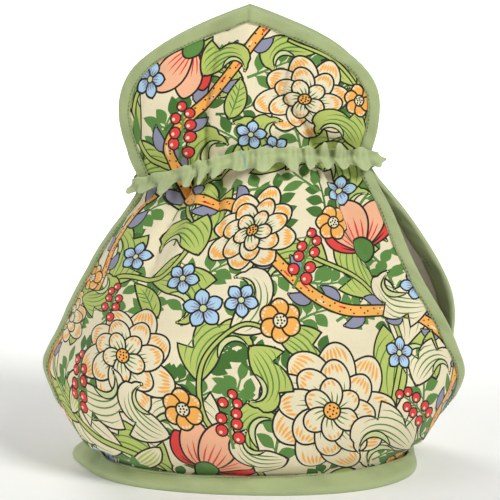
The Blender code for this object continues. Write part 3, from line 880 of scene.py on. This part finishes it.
def clothFinish(name, colourSource, look):
    # the colour painted on the mesh, made patchy and fibrous, over a woven and slightly crumpled surface
    material, tree, shader, place = newFinish(name)
    patchy = addNode(tree, "ShaderNodeTexNoise",
                     {"Vector": place, "Scale": clothGrain["patches"], "Detail": 3.0})
    spread = addNode(tree, "ShaderNodeMapRange", {
        "Value": patchy.outputs["Fac"], "From Min": 0.3, "From Max": 0.7,
        "To Min": 1 - look["fade"], "To Max": 1 + look["fade"] * 0.5})
    fibres = addNode(tree, "ShaderNodeTexNoise",
                     {"Vector": place, "Scale": clothGrain["fibres"], "Detail": 1.0})
    fuzz = addNode(tree, "ShaderNodeMapRange", {
        "Value": fibres.outputs["Fac"], "From Min": 0.3, "From Max": 0.7, "To Min": 0.96, "To Max": 1.03})
    both = addNode(tree, "ShaderNodeMath", {0: spread.outputs[0], 1: fuzz.outputs[0]}, operation="MULTIPLY")
    source = addNode(tree, "ShaderNodeAttribute", attribute_name=colourSource, attribute_type="GEOMETRY")
    tint = addNode(tree, "ShaderNodeVectorMath", {0: source.outputs["Color"], "Scale": both.outputs[0]},
                   operation="SCALE")
    weave = weaveHeight(tree, *look["shares"], look["pitch"])
    fine = addNode(tree, "ShaderNodeBump",
                   {"Height": weave.outputs[0], "Strength": 0.6, "Distance": look["depth"]})
    crumple = addNode(tree, "ShaderNodeTexNoise",
                      {"Vector": place, "Scale": clothGrain["crumple"], "Detail": 2.0})
    soft = addNode(tree, "ShaderNodeBump", {
        "Height": crumple.outputs["Fac"], "Strength": 0.5, "Distance": clothGrain["crumpleDepth"],
        "Normal": fine.outputs["Normal"]})
    setInputs(tree, shader, {
        "Base Color": tint.outputs[0], "Normal": soft.outputs["Normal"], "Roughness": look["roughness"],
        "Sheen Weight": look["sheen"], "Sheen Roughness": 0.5, "IOR": 1.45, "Specular IOR Level": 0.3})
    return material


# printed furnishing cotton: matt, a fine even plain weave, inks that sink into the thread.
# Its threads are about 0.5 mm apart; they are drawn at 1.0 mm so that they show.
printedCotton = clothFinish("printed_cotton_weave", "print", {
    "pitch": 0.0010, "depth": 0.00012, "roughness": 0.82, "sheen": 0.12, "shares": (0.5, 0.5), "fade": 0.06})
# dyed poly-cotton for bindings: a soft sage green, with ribbed crosswise threads that catch the light; its
# colour attribute holds the sage dye with painted shade in grooves and painted highlights on raised folds
greenBinding = clothFinish("green_poplin", "dye_and_painted_shade", {
    "pitch": 0.0011, "depth": 0.00016, "roughness": 0.74, "sheen": 0.22, "shares": (0.3, 0.7), "fade": 0.08})


def threadFinish(name, hexColour):
    material, tree, shader, place = newFinish(name)
    twist = addNode(tree, "ShaderNodeTexNoise", {"Vector": place, "Scale": 2200.0, "Detail": 1.0})
    raised = addNode(tree, "ShaderNodeBump",
                     {"Height": twist.outputs["Fac"], "Strength": 0.5, "Distance": 0.0001})
    setInputs(tree, shader, {"Normal": raised.outputs["Normal"], "Base Color": linearColour(hexColour),
                             "Roughness": 0.5, "Sheen Weight": 0.1})
    return material


# spun polyester sewing thread, darker than the binding, slightly glossy: fine dotted rows along every binding
sewingThread = threadFinish("sewing_thread_olive", "#5D6C40")
# one pale blue strand left lying across the ruffle
markerThread = threadFinish("marker_thread_blue", "#86B4C8")


# making meshes

def clothMesh(name, points, faces, uv, finish, normals=None):
    mesh = bpy.data.meshes.new(name)
    mesh.from_pydata((np.asarray(points).reshape(-1, 3) * mm).tolist(), [], faces)
    mesh.materials.append(finish)
    corners = np.empty(len(mesh.loops), np.int32)
    mesh.loops.foreach_get("vertex_index", corners)
    layer = mesh.uv_layers.new(name="cloth")
    uv = np.asarray(uv).reshape(-1, 2)
    layer.data.foreach_set("uv", (uv[corners] * mm).astype(np.float32).ravel())
    mesh.shade_smooth()
    if normals is not None:
        mesh.normals_split_custom_set_from_vertices(normals.tolist())
    piece = bpy.data.objects.new(name, mesh)
    bpy.context.scene.collection.objects.link(piece)
    return piece


def faceOutwards(piece):
    bm = bmesh.new()
    bm.from_mesh(piece.data)
    bmesh.ops.recalc_face_normals(bm, faces=bm.faces)
    bm.to_mesh(piece.data)
    bm.free()


def gridFaces(rows, columns, closeRows=False, closeColumns=False):
    faces = []
    for r in range(rows if closeRows else rows - 1):
        for c in range(columns if closeColumns else columns - 1):
            a, b = r * columns + c, r * columns + (c + 1) % columns
            d, e = (r + 1) % rows * columns + c, (r + 1) % rows * columns + (c + 1) % columns
            faces.append((a, b, e, d))
    return faces


def dyeAndShadeMesh(piece, shade, hexColour, highlightHex, depth=0.35):
    # shade runs from -1 in a groove, painted darker there as shade by up to depth, over 0, to 1 on a raised
    # fold, painted paler there as a highlight
    mesh = piece.data
    layer = mesh.color_attributes.new("dye_and_painted_shade", "FLOAT_COLOR", "POINT")
    base, pale = np.array(linearColour(hexColour)), np.array(linearColour(highlightHex))
    shade = np.asarray(shade, float)[:, None]
    colours = base + (pale - base) * np.clip(shade, 0, 1)
    colours[:, :3] *= 1 - depth * np.clip(-shade, 0, 1)
    layer.data.foreach_set("color", colours.astype(np.float32).ravel())


def insideShape(shape, points):
    x, y = points[:, :1], points[:, 1:]
    ahead = np.roll(shape, -1, axis=0)
    (ax, ay), (bx, by) = shape.T, ahead.T
    turn = (bx - ax) * (y - ay) - (x - ax) * (by - ay)
    up = (ay <= y) & (by > y) & (turn > 0)
    down = (ay > y) & (by <= y) & (turn < 0)
    return up.sum(axis=1) != down.sum(axis=1)


def within(shape, places, order):
    # the places, sorted by x in order, that a shape covers
    low, high = shape.min(axis=0), shape.max(axis=0)
    span = order["x"].searchsorted([low[0], high[0]])
    some = order["index"][span[0]:span[1]]
    some = some[(places[some, 1] >= low[1]) & (places[some, 1] <= high[1])]
    return some[insideShape(shape, places[some])]


def sortedByX(places):
    index = np.argsort(places[:, 0])
    return {"index": index, "x": places[index, 0]}


# the panels: printed cotton over padding

# mm; clear is how near the cut edge a printed line may run, and merge joins points closer than that
panelLook = {"cut": 2.6, "edgeStep": 3.0, "archSteps": 36, "grid": 3.3, "neckGrid": 1.7, "neckReach": 26,
             "innerGrid": 5.5, "clear": 1.0, "merge": 0.015}


def clothGrid(panel, spacing, low, high, inset):
    rows = []
    for k, along in enumerate(np.arange(low, high, spacing * 0.87)):
        reach = panel.halfWidth(np.array([along]))[0]
        across = np.arange(-reach, reach, spacing) + spacing / 2 * (k % 2)
        rows.append(np.stack([across, np.full(len(across), along)], axis=1))
    rows = np.concatenate(rows)
    return rows[(panel.edgeDistance(*rows.T) > inset) & (rows[:, 1] > 1.5)]


def flatPrint(panel, marks):
    # the flat panel cut into triangles along the edges of its print, with the ink of each
    look = panelLook
    step = look["edgeStep"]
    edge = panel.edgeLine(look["cut"], 0.0, step, look["archSteps"])
    base = np.arange(edge[-1, 0] - step, edge[0, 0] + step / 2, -step)
    outline = np.concatenate([edge, np.stack([base, np.zeros(len(base))], axis=1)])
    shapes = [shape for shape, _ in marks]
    starts = np.concatenate(shapes)
    ends = np.concatenate([np.roll(shape, -1, axis=0) for shape in shapes])
    owner = np.repeat(np.arange(len(shapes)), [len(shape) for shape in shapes])
    middle = (starts + ends) / 2
    seen = (panel.edgeDistance(*middle.T) > look["clear"]) & (middle[:, 1] > -2 * look["clear"])
    order = sortedByX(middle)
    for number, shape in enumerate(shapes):   # a line under a later shape isn't cut
        under = within(shape, middle, order)
        under = under[(owner[under] < number) & seen[under]]
        hidden = insideShape(shape, starts[under]) & insideShape(shape, ends[under])
        seen[under[hidden]] = False
    starts, ends = starts[seen], ends[seen]
    inset, reach = look["cut"] + 1.2, look["neckReach"]
    grid = np.concatenate([
        clothGrid(panel, look["grid"], 2, panel.top, inset),
        clothGrid(panel, look["neckGrid"], panel.neck - reach, panel.neck + reach * 0.7, inset)])
    places = np.concatenate([outline, starts, ends, grid])
    lines = [(i, (i + 1) % len(outline)) for i in range(len(outline))]
    lines += [(len(outline) + i, len(outline) + len(starts) + i) for i in range(len(starts))]
    found = delaunay_2d_cdt([Vector(p) for p in places], lines, [], 0, look["merge"])
    flat = np.array([tuple(p) for p in found[0]])
    triangles = np.array(found[2])
    triangles = triangles[insideShape(outline, flat[triangles].mean(axis=1))]
    used = np.unique(triangles)
    renumber = np.zeros(len(flat), int)
    renumber[used] = np.arange(len(used))
    flat, triangles = flat[used], renumber[triangles]
    middle = flat[triangles].mean(axis=1)
    order = sortedByX(middle)
    names = list(printInks)
    ink = np.full(len(triangles), names.index("cream"))
    for shape, inkName in marks:
        ink[within(shape, middle, order)] = names.index(inkName)
    return flat, triangles, ink


def rimOf(triangles):
    ends = np.concatenate([triangles[:, [0, 1]], triangles[:, [1, 2]], triangles[:, [2, 0]]])
    _, first, count = np.unique(np.sort(ends, axis=1), axis=0, return_index=True, return_counts=True)
    return ends[first[count == 1]]


def addPanel(name, panel, marks, node):
    flat, triangles, ink = flatPrint(panel, marks)
    rim = rimOf(triangles)
    corners = np.unique(rim)
    place = {int(v): i for i, v in enumerate(corners)}
    grid = clothGrid(panel, panelLook["innerGrid"], 4, panel.top, panelLook["cut"] + 3)
    found = delaunay_2d_cdt([Vector(p) for p in np.concatenate([flat[corners], grid])],
                            [(place[int(a)], place[int(b)]) for a, b in rim], [], 1, 1e-5)
    back = np.array([tuple(p) for p in found[0]])
    innerOf = {old: new for new, olds in enumerate(found[3]) for old in olds}
    inner = np.array(found[2]) + len(flat)
    behind = {v: len(flat) + innerOf[i] for v, i in place.items()}
    walls = [(int(a), int(b), behind[int(b)], behind[int(a)]) for a, b in rim]
    if panel.facing < 0:
        inner = inner[:, ::-1]
        walls = [wall[::-1] for wall in walls]
    else:
        triangles = triangles[:, ::-1]
    points = np.concatenate([panel.outerFace(*flat.T), panel.innerFace(*back.T)])
    normals = np.concatenate([panel.outward(panel.outerFace, *flat.T, 0.35),
                              -panel.outward(panel.innerFace, *back.T)])
    faces = triangles.tolist() + inner.tolist() + walls
    uv = np.concatenate([flat, back])
    piece = clothMesh(name, points, faces, uv, printedCotton, normals)
    inks = np.array([linearColour(colour) for colour in printInks.values()])
    reverse = list(printInks).index("reverse")
    perFace = np.concatenate([ink, np.full(len(inner) + len(walls), reverse)])
    counts = np.concatenate([np.full(len(triangles) + len(inner), 3), np.full(len(walls), 4)])
    layer = piece.data.color_attributes.new("print", "FLOAT_COLOR", "CORNER")
    layer.data.foreach_set("color", np.repeat(inks[perFace], counts, axis=0).astype(np.float32).ravel())
    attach(piece, "root")
    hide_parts(node)
    print(name, len(triangles), "printed triangles and", len(inner), "behind")
    return piece


# the edge bindings: a strip folded over the sides and the point

# colour is the sage dye; fold is the paler tone painted on the folded edge and on wave crests as a highlight
bindingLook = {
    "width": 9.4, "thick": 0.8, "foldTip": 0.4, "foldStart": 1.7, "start": 11.0, "step": 2.2, "archSteps": 62,
    "stitchInset": 8.3, "colour": "#A4B17D", "fold": "#B2BF90", "mitre": 0.5, "inside": 0.45,
    "puff": 0.35, "seamDip": 0.25, "wave": 0.8,
}


def foldedProfile(faceRow, foldMiddle, lift, thick, facePoints=9, foldPoints=11):
    # middle line of a strip folded once, and the loop round its thickness: (place, lift) pairs
    turn = np.radians(np.linspace(90, -90, foldPoints))
    tip = foldMiddle[0] - (foldMiddle[0] - foldMiddle[1]) * np.cos(turn)
    face = np.linspace(faceRow, foldMiddle[0], facePoints)[:-1]
    middle = np.concatenate([
        np.stack([face, np.full(len(face), lift)], axis=1),
        np.stack([tip, lift * np.sin(turn)], axis=1),
        np.stack([face[::-1], np.full(len(face), -lift)], axis=1)])
    run = unit(np.gradient(middle, axis=0))
    side = np.stack([run[:, 1], -run[:, 0]], axis=1) * thick / 2
    return middle, np.concatenate([middle + side, (middle - side)[::-1]])


def bindingWave(run, inset):
    drag = run + 0.9 * inset
    return (0.34 * np.sin(drag / 5.3) + 0.26 * np.sin(drag / 3.1 + 1.2)
            + 0.16 * np.sin(drag / 1.9 + 0.4 * np.sin(run / 17)))


def addBinding(name, panel, node):
    look = bindingLook
    lift = cloth["edgeThick"] / 2 + cloth["gap"] + look["thick"] / 2
    foldAt = look["foldStart"], look["foldTip"]
    _, loop = foldedProfile(look["width"] - 0.3, foldAt, lift, look["thick"])
    rowPlaces = look["start"], look["step"], look["archSteps"]
    path = panel.edgeLine(5.0, *rowPlaces)
    run = runningLength(panel.bentCloth(*path.T))
    apex = run[len(run) // 2]
    rows, uv, shades = [], [], []
    for inset, out in loop:
        flat = panel.edgeLine(inset, *rowPlaces)
        if panel is back:   # turned further over on the inside, where it shows in the gap at the side
            deeper = panel.edgeLine(inset * (1 + look["inside"]), *rowPlaces)
            share = smooth(-out / lift) * smooth((panel.neck - 8 - flat[:, 1]) / 20)
            flat = flat + (deeper - flat) * share[:, None]
        face = np.clip(abs(out) / lift, 0, 1) ** 2 * np.sign(out)
        puff = look["puff"] * np.sin(np.pi * np.clip(inset / 8.6, 0, 1))
        puff = puff - look["seamDip"] * bump(inset, look["stitchInset"], 0.8)
        wave = bindingWave(run, inset) * smooth(inset / 3) * look["wave"]
        overlap = look["mitre"] * smooth((run - apex) / 0.9 + 0.5) * np.exp(-np.maximum(run - apex, 0) / 9)
        shift = out + face * (puff + wave + overlap)
        rows.append(panel.lifted(*flat.T, shift))
        uv.append(np.stack([run, np.full(len(run), inset + 30 * (out < 0))], axis=1))
        # painted light on the binding: paler at the folded edge and on wave crests as a highlight, darker along
        # the stitch row and at the mitre of the point as shade
        fold = 0.8 * bump(inset, 0, 1.6) + 0.25 * wave / 0.6
        seamShade = 0.5 * bump(inset, look["stitchInset"], 0.55)
        shades.append(np.full(len(run), fold) - seamShade - 0.5 * bump(run, apex, 0.6))
    rows = np.array(rows)
    count, columns = rows.shape[:2]
    faces = gridFaces(count, columns, closeRows=True)
    for r in range(count // 2 - 1):   # the two cut ends
        corners = [row * columns for row in (r, r + 1, count - 2 - r, count - 1 - r)]
        faces.append(tuple(corners))
        faces.append(tuple(corner + columns - 1 for corner in corners[::-1]))
    if panel.facing > 0:
        faces = [face[::-1] for face in faces]
    piece = clothMesh(name, rows, faces, uv, greenBinding)
    dyeAndShadeMesh(piece, np.array(shades).ravel(), look["colour"], look["fold"])
    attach(piece, "root")
    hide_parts(node)
    rowsOut = []
    for way in (1, -1):
        flat = panel.edgeLine(look["stitchInset"], look["start"] + 2, look["step"], look["archSteps"])
        wave = bindingWave(runningLength(panel.bentCloth(*flat.T)), look["stitchInset"])
        wave = wave * look["wave"] - 0.1
        out = panel.outward(panel.plainCloth, *flat.T) * way
        rowsOut.append((panel.lifted(*flat.T, way * (lift + look["thick"] / 2 + wave)), out))
    stitches = addStitches(name + "_stitches", rowsOut)
    print(name, len(faces), "faces")
    return piece, stitches, float(run[-1]) * mm


# sewing: a short raised thread every few millimetres, sunk at both ends

stitchLook = {"pitch": 2.5, "length": 1.55, "thick": 0.6, "sides": 6, "proud": 0.10, "sink": 0.28}


def addStitches(name, rows):
    look = stitchLook
    along = np.array([-1.0, -0.82, -0.4, 0.0, 0.4, 0.82, 1.0])
    width = np.array([0.25, 0.75, 1.0, 1.0, 1.0, 0.75, 0.25])
    turn = evenTurn(look["sides"])
    points, faces, uv = [], [], []
    for line, outs in rows:
        length = runningLength(line)
        middles = np.arange(look["pitch"], length[-1] - look["pitch"], look["pitch"])
        at = pointsAt(middles, length, line)
        ahead = pointsAt(middles + 0.5, length, line)
        out = unit(pointsAt(middles, length, outs))
        run = unit(ahead - at)
        side = np.cross(run, out)
        for k in range(len(at)):
            first = len(points)
            for share, wide in zip(along, width):
                proud = look["proud"] - look["sink"] * share ** 2
                heart = at[k] + run[k] * share * look["length"] / 2 + out[k] * proud
                for angle in turn:
                    away = side[k] * math.cos(angle) + out[k] * math.sin(angle)
                    points.append(heart + wide * look["thick"] / 2 * away)
                    uv.append((share, angle))
            n = look["sides"]
            faces += [tuple(first + i for i in face) for face in gridFaces(len(along), n, closeColumns=True)]
            faces.append(tuple(first + i for i in range(n))[::-1])
            faces.append(tuple(first + (len(along) - 1) * n + i for i in range(n)))
    piece = clothMesh(name, points, faces, uv, sewingThread)
    faceOutwards(piece)
    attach(piece, "root")
    return piece


# rings round both panels: the neck ruffle and the hem binding

def ringLine(along, offset, columns, soften, over=0):
    # points round both panels at one place up the cloth, evenly spaced, with the corners eased;
    # with a reach in over it passes outside the folds of the cloth instead of through them
    points = []
    count = 240
    for panel, way in ((front, 1), (back, -1)):
        rows = np.full(count, along)
        across = np.linspace(-1, 1, count) * way * panel.halfWidth(rows)
        away = np.full(count, float(offset))
        if over:
            folds = np.pad(np.maximum(panel.relief(across, rows), 0), over, "edge")
            away += np.max([folds[k:k + count] for k in range(2 * over + 1)], axis=0)
        outward = panel.outward(panel.plainCloth, across, rows)
        points.append(panel.plainCloth(across, rows) + away[:, None] * outward)
    ring = np.concatenate(points)
    ring = np.roll(ring, -count // 2, axis=0)
    ring = np.concatenate([ring, ring[:1]])
    length = runningLength(ring)
    places = np.arange(columns) / columns * length[-1]
    even = pointsAt(places, length, ring)
    step = length[-1] / columns
    reach = int(3 * soften / step) + 1
    weights = np.exp(-((np.arange(-reach, reach + 1) * step / soften) ** 2) / 2)
    weights /= weights.sum()
    wrapped = np.concatenate([even[-reach:], even, even[:reach]])
    return np.stack([np.convolve(wrapped[:, axis], weights, "valid") for axis in range(3)], axis=1)


# colour is the sage dye; fold is the paler tone painted on the folded lower edge and on wave crests as a
# highlight
hemLook = {
    "top": 11.2, "foldStart": 0.6, "foldTip": -2.0, "lift": 2.9, "thick": 1.4, "columns": 420, "soften": 3.0,
    "stitchAlong": 8.8, "colour": "#A3B07C", "fold": "#B1BE8E", "puff": 0.4, "seamDip": 0.3, "floorGap": 0.02,
}


def addHem():
    look = hemLook
    foldAt = look["foldStart"], look["foldTip"]
    middle, loop = foldedProfile(look["top"], foldAt, look["lift"], look["thick"], 10, 13)
    rows, uv, shades = [], [], []
    length = runningLength(ringLine(4.0, look["lift"], look["columns"], look["soften"]))[-1]
    aroundHem = evenTurn(look["columns"]) / 2 / np.pi * length
    for along, out in loop:
        line = ringLine(along, out, look["columns"], look["soften"])
        outward = ringLine(along, out + 1.0, look["columns"], look["soften"]) - line
        drag = aroundHem + 0.7 * along
        wave = (0.45 * np.sin(drag / 9.1 + 0.6 * np.sin(drag / 37)) + 0.3 * np.sin(drag / 5.2 + 2)
                + 0.15 * np.sin(drag / 2.7)) * smooth((along + 2) / 5)
        puff = look["puff"] * np.sin(np.pi * np.clip((along + 2) / (look["stitchAlong"] + 1), 0, 1))
        puff = puff - look["seamDip"] * bump(along, look["stitchAlong"], 0.8)
        way = np.clip(out / look["lift"], -1, 1)
        rows.append(line + (way * (puff + wave))[:, None] * outward)
        uv.append(np.stack([aroundHem, np.full(look["columns"], along + 40 * (out < 0))], axis=1))
        # painted light on the hem: paler along its folded lower edge and on wave crests as a highlight, darker
        # along the stitch row as shade
        shades.append(0.6 * bump(along, -2, 1.5) + 0.4 * wave - 0.5 * bump(along, look["stitchAlong"], 0.6))
    rows = np.array(rows)
    rows[:, :, 2] = np.maximum(rows[:, :, 2], look["floorGap"])
    faces = gridFaces(len(rows), look["columns"], closeRows=True, closeColumns=True)
    piece = clothMesh("hem_binding_cotton", rows, faces, uv, greenBinding)
    faceOutwards(piece)
    dyeAndShadeMesh(piece, np.array(shades).ravel(), look["colour"], look["fold"])
    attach(piece, "root")
    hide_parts("hem_binding")
    nearest = int(np.argmin(abs(middle[:len(middle) // 2, 0] - look["stitchAlong"])))
    row = rows[nearest]
    outward = unit(row - ringLine(look["stitchAlong"], 0.0, look["columns"], look["soften"]))
    closed = np.concatenate([row, row[:1]]), np.concatenate([outward, outward[:1]])
    stitches = addStitches("hem_stitches", [closed])
    print("hem binding", len(faces), "faces")
    return piece, stitches, length * mm


ruffleLook = {   # lengths in mm
    "half": 6.3, "thick": 0.7, "clear": 1.4, "rows": 25, "columns": 1100, "soften": 3.2, "over": 6,
    "flatStand": 1.1, "lowStand": 5.0, "highStand": 3.1,   # how far it stands out: all over, below and above
    "drop": 4.9, "lift": 2.5, "sag": 2.2, "slip": 0.05, "crimp": 0.4, "crimpPitch": 1.55, "plump": 0.35,
    "lowSlant": (13.5, 1), "highSlant": (1, 4.5),   # how far gathers lean near the spout, near the handle
    "handleTip": 7.5, "spoutTip": 2.5, "handleLift": 2.6, "spoutLift": 3.0, "frontDip": 2.4,
    # colour is the sage dye; fold is the paler tone painted on crests as a highlight; the first groove number
    # is how much darker grooves are painted as shade, the second how narrow those painted lines are
    "colour": "#B0BD87", "fold": "#BECA9A", "grooveShade": 0.42, "grooveSharp": 3.5,
}
# the gathers over the front: mm across, then how far each stands out low and high, and how far it leans
ruffleCrests = (
    (-70, 0.5, 0.6, -0.3), (-58.5, 1.1, 0.5, -0.6), (-42, 1.05, 0.4, 0.5), (-33, 1.2, 0.7, 0.1),
    (-23.5, 0.85, 0.6, 0.5), (-8, 0.4, 0.3, 0.0), (7, 0.9, 0.6, 0.3), (25.5, 1.1, 0.5, 0.2),
    (36, 0.8, 0.9, -0.4), (45.8, 0.7, 2.0, 0.1), (55, 0.65, 2.1, -0.1), (67, 0.7, 0.8, 0.2),
)
# those at the back: how many, how unevenly spread, the middle and sway of each size, and the lean
ruffleBack = {"crests": 17, "uneven": 0.28, "low": (0.72, 0.26), "high": (0.5, 0.34), "lean": 0.7}


def gatherTable(middle, length):
    # place round the ring, the two sizes and the lean of every gather, over three turns of the ring;
    # those at the back are not listed, so they are spread unevenly between the last and the first
    s = np.arange(len(middle)) / len(middle) * length
    ahead = middle[:, 1] < 2
    wrapped = np.where(s > length / 2, s - length, s)
    order = np.argsort(wrapped[ahead])
    frontS = wrapped[ahead][order]
    frontX = np.maximum.accumulate(middle[ahead][order][:, 0])
    crests = [(float(np.interp(x, frontX, frontS)), low, high, lean) for x, low, high, lean in ruffleCrests]
    first, last = crests[0][0] + length, crests[-1][0]
    look = ruffleBack
    step = (first - last) / (look["crests"] + 1)
    for k in range(look["crests"]):
        shift = look["uneven"] * step * math.sin(2.9 * k + 0.6)
        low = look["low"][0] + look["low"][1] * math.sin(1.9 * k)
        high = look["high"][0] + look["high"][1] * math.sin(1.3 * k + 2)
        crests.append((last + (k + 1) * step + shift, low, high, look["lean"] * math.sin(2.1 * k)))
    table = np.array(crests)
    return np.concatenate([table - (length, 0, 0, 0), table, table + (length, 0, 0, 0)])


def gathersAt(table, s):
    # turns of the wave, and the two sizes and the lean of the gather, at places round the ring
    knots = np.arange(len(table))
    count = np.interp(s, table[:, 0], knots)
    return 2 * np.pi * count, spline(knots, table[:, 1:], count).T


def ruffleRow(h, s, turn, table):
    # one row of the strip, h from -1 at its lower edge to 1 at its upper edge: how far each point stands out,
    # slips sideways and rises, in mm, and how pale or dark it is painted: paler as a highlight on crests, edges
    # and outward crimps, darker as shade in grooves and inward crimps
    look = ruffleLook
    handle, spout = abs(turn - np.pi / 2), abs(turn + np.pi / 2)
    # flatter where it crosses the slots
    corner = 1 - 0.97 * bump(handle, 0, 0.22) - 0.8 * bump(spout, 0, 0.18)
    low, high = smooth(-h * 1.05), smooth(h * 1.05)
    (spoutLow, handleLow), (spoutHigh, handleHigh) = look["lowSlant"], look["highSlant"]
    lagLow = spoutLow * bump(turn, -0.95, 0.6) - handleLow * bump(turn, 0.95, 0.4)
    lagHigh = spoutHigh * bump(turn, -0.9, 0.6) - handleHigh * bump(turn, 0.95, 0.4)
    phase, (lowSize, highSize, lean) = gathersAt(table, s - lagLow * (1 - h) / 2 - lagHigh * (1 + h) / 2)
    bent = phase + 0.3 * h * np.sin(3 * turn + 1)
    crest = 0.5 + 0.5 * np.cos(bent)
    lobe = 0.5 + 0.5 * np.cos(bent - look["plump"] * np.sin(bent) + 0.25 * np.cos(bent))
    lowFold, highFold = smooth(0.22 - 0.85 * h) * lowSize, smooth(0.22 + 0.85 * h) * highSize
    stand = (look["flatStand"] + look["lowStand"] * lowFold + look["highStand"] * highFold) * corner
    crimp = look["crimp"] * np.sin(s * look["crimpPitch"] + 2.2 * np.sin(s * 0.21) + 1.5 * h)
    crimp = crimp * (1 - 0.45 * abs(h)) * corner
    crimp *= 1 - 0.55 * bump(turn, -1.0, 0.5)
    outside = 0.4 + 0.8 * low + 0.5 * high + stand * lobe + crimp
    # the pointed ends over the two slots
    handleTip = look["handleTip"] * bump(handle, 0, 0.16) * bump(h, 0.0, 0.75)
    spoutTip = look["spoutTip"] * bump(spout, 0, 0.11) * bump(h, -0.3, 0.7)
    slip = look["slip"] * stand * np.sin(2 * bent) + 1.0 * lean * crest * (0.4 + low + high)
    slip = slip * (0.3 + 0.7 * abs(h))
    fall = -look["drop"] * low * (crest * lowSize - 0.32)
    rise = (fall + look["lift"] * high * (crest ** 2 * highSize - 0.2)) * corner
    rise -= look["sag"] * bump(turn, -0.75, 0.5)
    overSlots = look["handleLift"] * bump(handle, 0, 0.2) + look["spoutLift"] * bump(spout, 0, 0.16)
    rise += low * (overSlots - look["frontDip"] * bump(turn, 0, 0.1))
    rise += (2.2 + 1.3 * h) * bump(turn, 1.35, 0.3) - high * 2.2 * bump(handle, 0, 0.18)
    # painted light: grooves are painted darker as shade, and crests, both edges and outward crimps paler as a
    # highlight
    folded = np.maximum(lowFold, 0.8 * highFold)
    groove = (0.5 - 0.5 * np.cos(bent - 0.5)) ** look["grooveSharp"]
    crestHighlight = 0.9 * (crest - 0.5).clip(0) * folded
    shade = 0.4 * bump(abs(h), 1.0, 0.1) - 1.3 * groove * folded + crestHighlight + 0.5 * crimp
    return outside + handleTip + spoutTip, slip, rise, shade


def addRuffle():
    look = ruffleLook
    heights = np.linspace(-1, 1, look["rows"])
    knots = np.linspace(-1, 1, 7)
    close = cloth["thick"] / 2 + look["clear"] + look["thick"] / 2
    lines = np.array([
        ringLine(front.neck + h * look["half"], close, look["columns"], look["soften"], look["over"])
        for h in knots])
    base = spline(knots, lines.reshape(len(knots), -1), heights).reshape(len(heights), look["columns"], 3)
    run = unit(np.roll(base, -1, axis=1) - np.roll(base, 1, axis=1))
    up = unit(np.gradient(base, axis=0))
    out = unit(np.cross(run, up) * (1, 1, 0.1))   # the gathers stand out almost level
    upright = unit(up * (0.3, 0.3, 1))
    middle = base[len(heights) // 2]
    length = runningLength(middle)[-1]
    s = np.arange(look["columns"]) / look["columns"] * length
    table = gatherTable(middle, length)
    turn = (s / length * 2 * np.pi + np.pi) % (2 * np.pi) - np.pi
    # near the sides they face the front
    sideways = 1 - 0.75 * bump(turn, -0.85, 0.5) - 0.7 * bump(turn, 0.85, 0.5)
    out = unit(out * np.stack([sideways, np.ones_like(turn), np.ones_like(turn)], axis=1))
    rows, shades, uv = [], [], []
    for r, h in enumerate(heights):
        outside, slip, rise, shade = ruffleRow(h, s, turn, table)
        rows.append(base[r] + out[r] * outside[:, None] + run[r] * slip[:, None] + upright[r] * rise[:, None])
        shades.append(shade)
        uv.append(np.stack([s * 1.5, np.full(len(s), h * look["half"])], axis=1))
    outer = np.array(rows)
    face = np.cross(np.roll(outer, -1, axis=1) - np.roll(outer, 1, axis=1), np.gradient(outer, axis=0))
    face = unit(sum(np.roll(unit(face), k, axis=1) * math.exp(-((k / 3) ** 2)) for k in range(-6, 7)))
    inner = outer - face * look["thick"]
    loop = np.concatenate([outer, inner[::-1]])
    uv = np.concatenate([uv, uv[::-1]])
    faces = gridFaces(len(loop), look["columns"], closeRows=True, closeColumns=True)
    piece = clothMesh("neck_ruffle_cotton", loop, faces, uv, greenBinding)
    faceOutwards(piece)
    shades = np.concatenate([shades, shades[::-1]]).ravel()
    dyeAndShadeMesh(piece, shades, look["colour"], look["fold"], look["grooveShade"])
    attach(piece, "root")
    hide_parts("neck_ruffle")
    print("neck ruffle", len(faces), "faces")
    strand = addMarkerThread(outer, face, middle)
    return piece, strand, length * mm


# where the strand crosses the upper and lower edge of the ruffle, in mm across, and its size in mm
markerLook = {"topAt": -6.6, "lowAt": -0.6, "thick": 0.6, "proud": 0.2, "sides": 6}


def addMarkerThread(outer, face, middle):
    look = markerLook
    ahead = np.where(middle[:, 1] < 0, middle[:, 0], 1e6)
    count = len(outer)
    heart, out = [], []
    for r in range(count):
        across = look["lowAt"] + (look["topAt"] - look["lowAt"]) * r / (count - 1)
        column = int(np.argmin(abs(ahead - across)))
        out.append(face[r, column])
        heart.append(outer[r, column] + out[-1] * look["proud"])
    heart, out = np.array(heart), np.array(out)
    side = unit(np.cross(unit(np.gradient(heart, axis=0)), out))
    turn = evenTurn(look["sides"])
    away = side[:, None] * np.cos(turn)[None, :, None] + out[:, None] * np.sin(turn)[None, :, None]
    points = (heart[:, None] + look["thick"] / 2 * away).reshape(-1, 3)
    faces = gridFaces(count, look["sides"], closeColumns=True)
    ends = list(range(look["sides"])), [len(points) - look["sides"] + k for k in range(look["sides"])]
    faces += [tuple(ends[0][::-1]), tuple(ends[1])]
    uv = np.zeros((len(points), 2))
    strand = clothMesh("ruffle_marker_thread", points, faces, uv, markerThread)
    faceOutwards(strand)
    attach(strand, "root")
    return strand


frontCloth = addPanel("front_panel_cotton", front, printMarks(), "front_panel")
backCloth = addPanel("back_panel_cotton", back, printMarks(-1, -7.0), "back_panel")
frontStrip, frontSewing, stripLength = addBinding("front_binding_cotton", front, "front_binding")
backStrip, backSewing, backLength = addBinding("back_binding_cotton", back, "back_binding")
hem, hemSewing, hemLength = addHem()
ruffle, ruffleStrand, ruffleLength = addRuffle()

for piece, panel in ((frontCloth, front), (backCloth, back)):
    width = 2 * float(panel.halfWidth(np.linspace(0, panel.archStart, 200)).max()) * mm
    round(panel.flatArea(), 4)
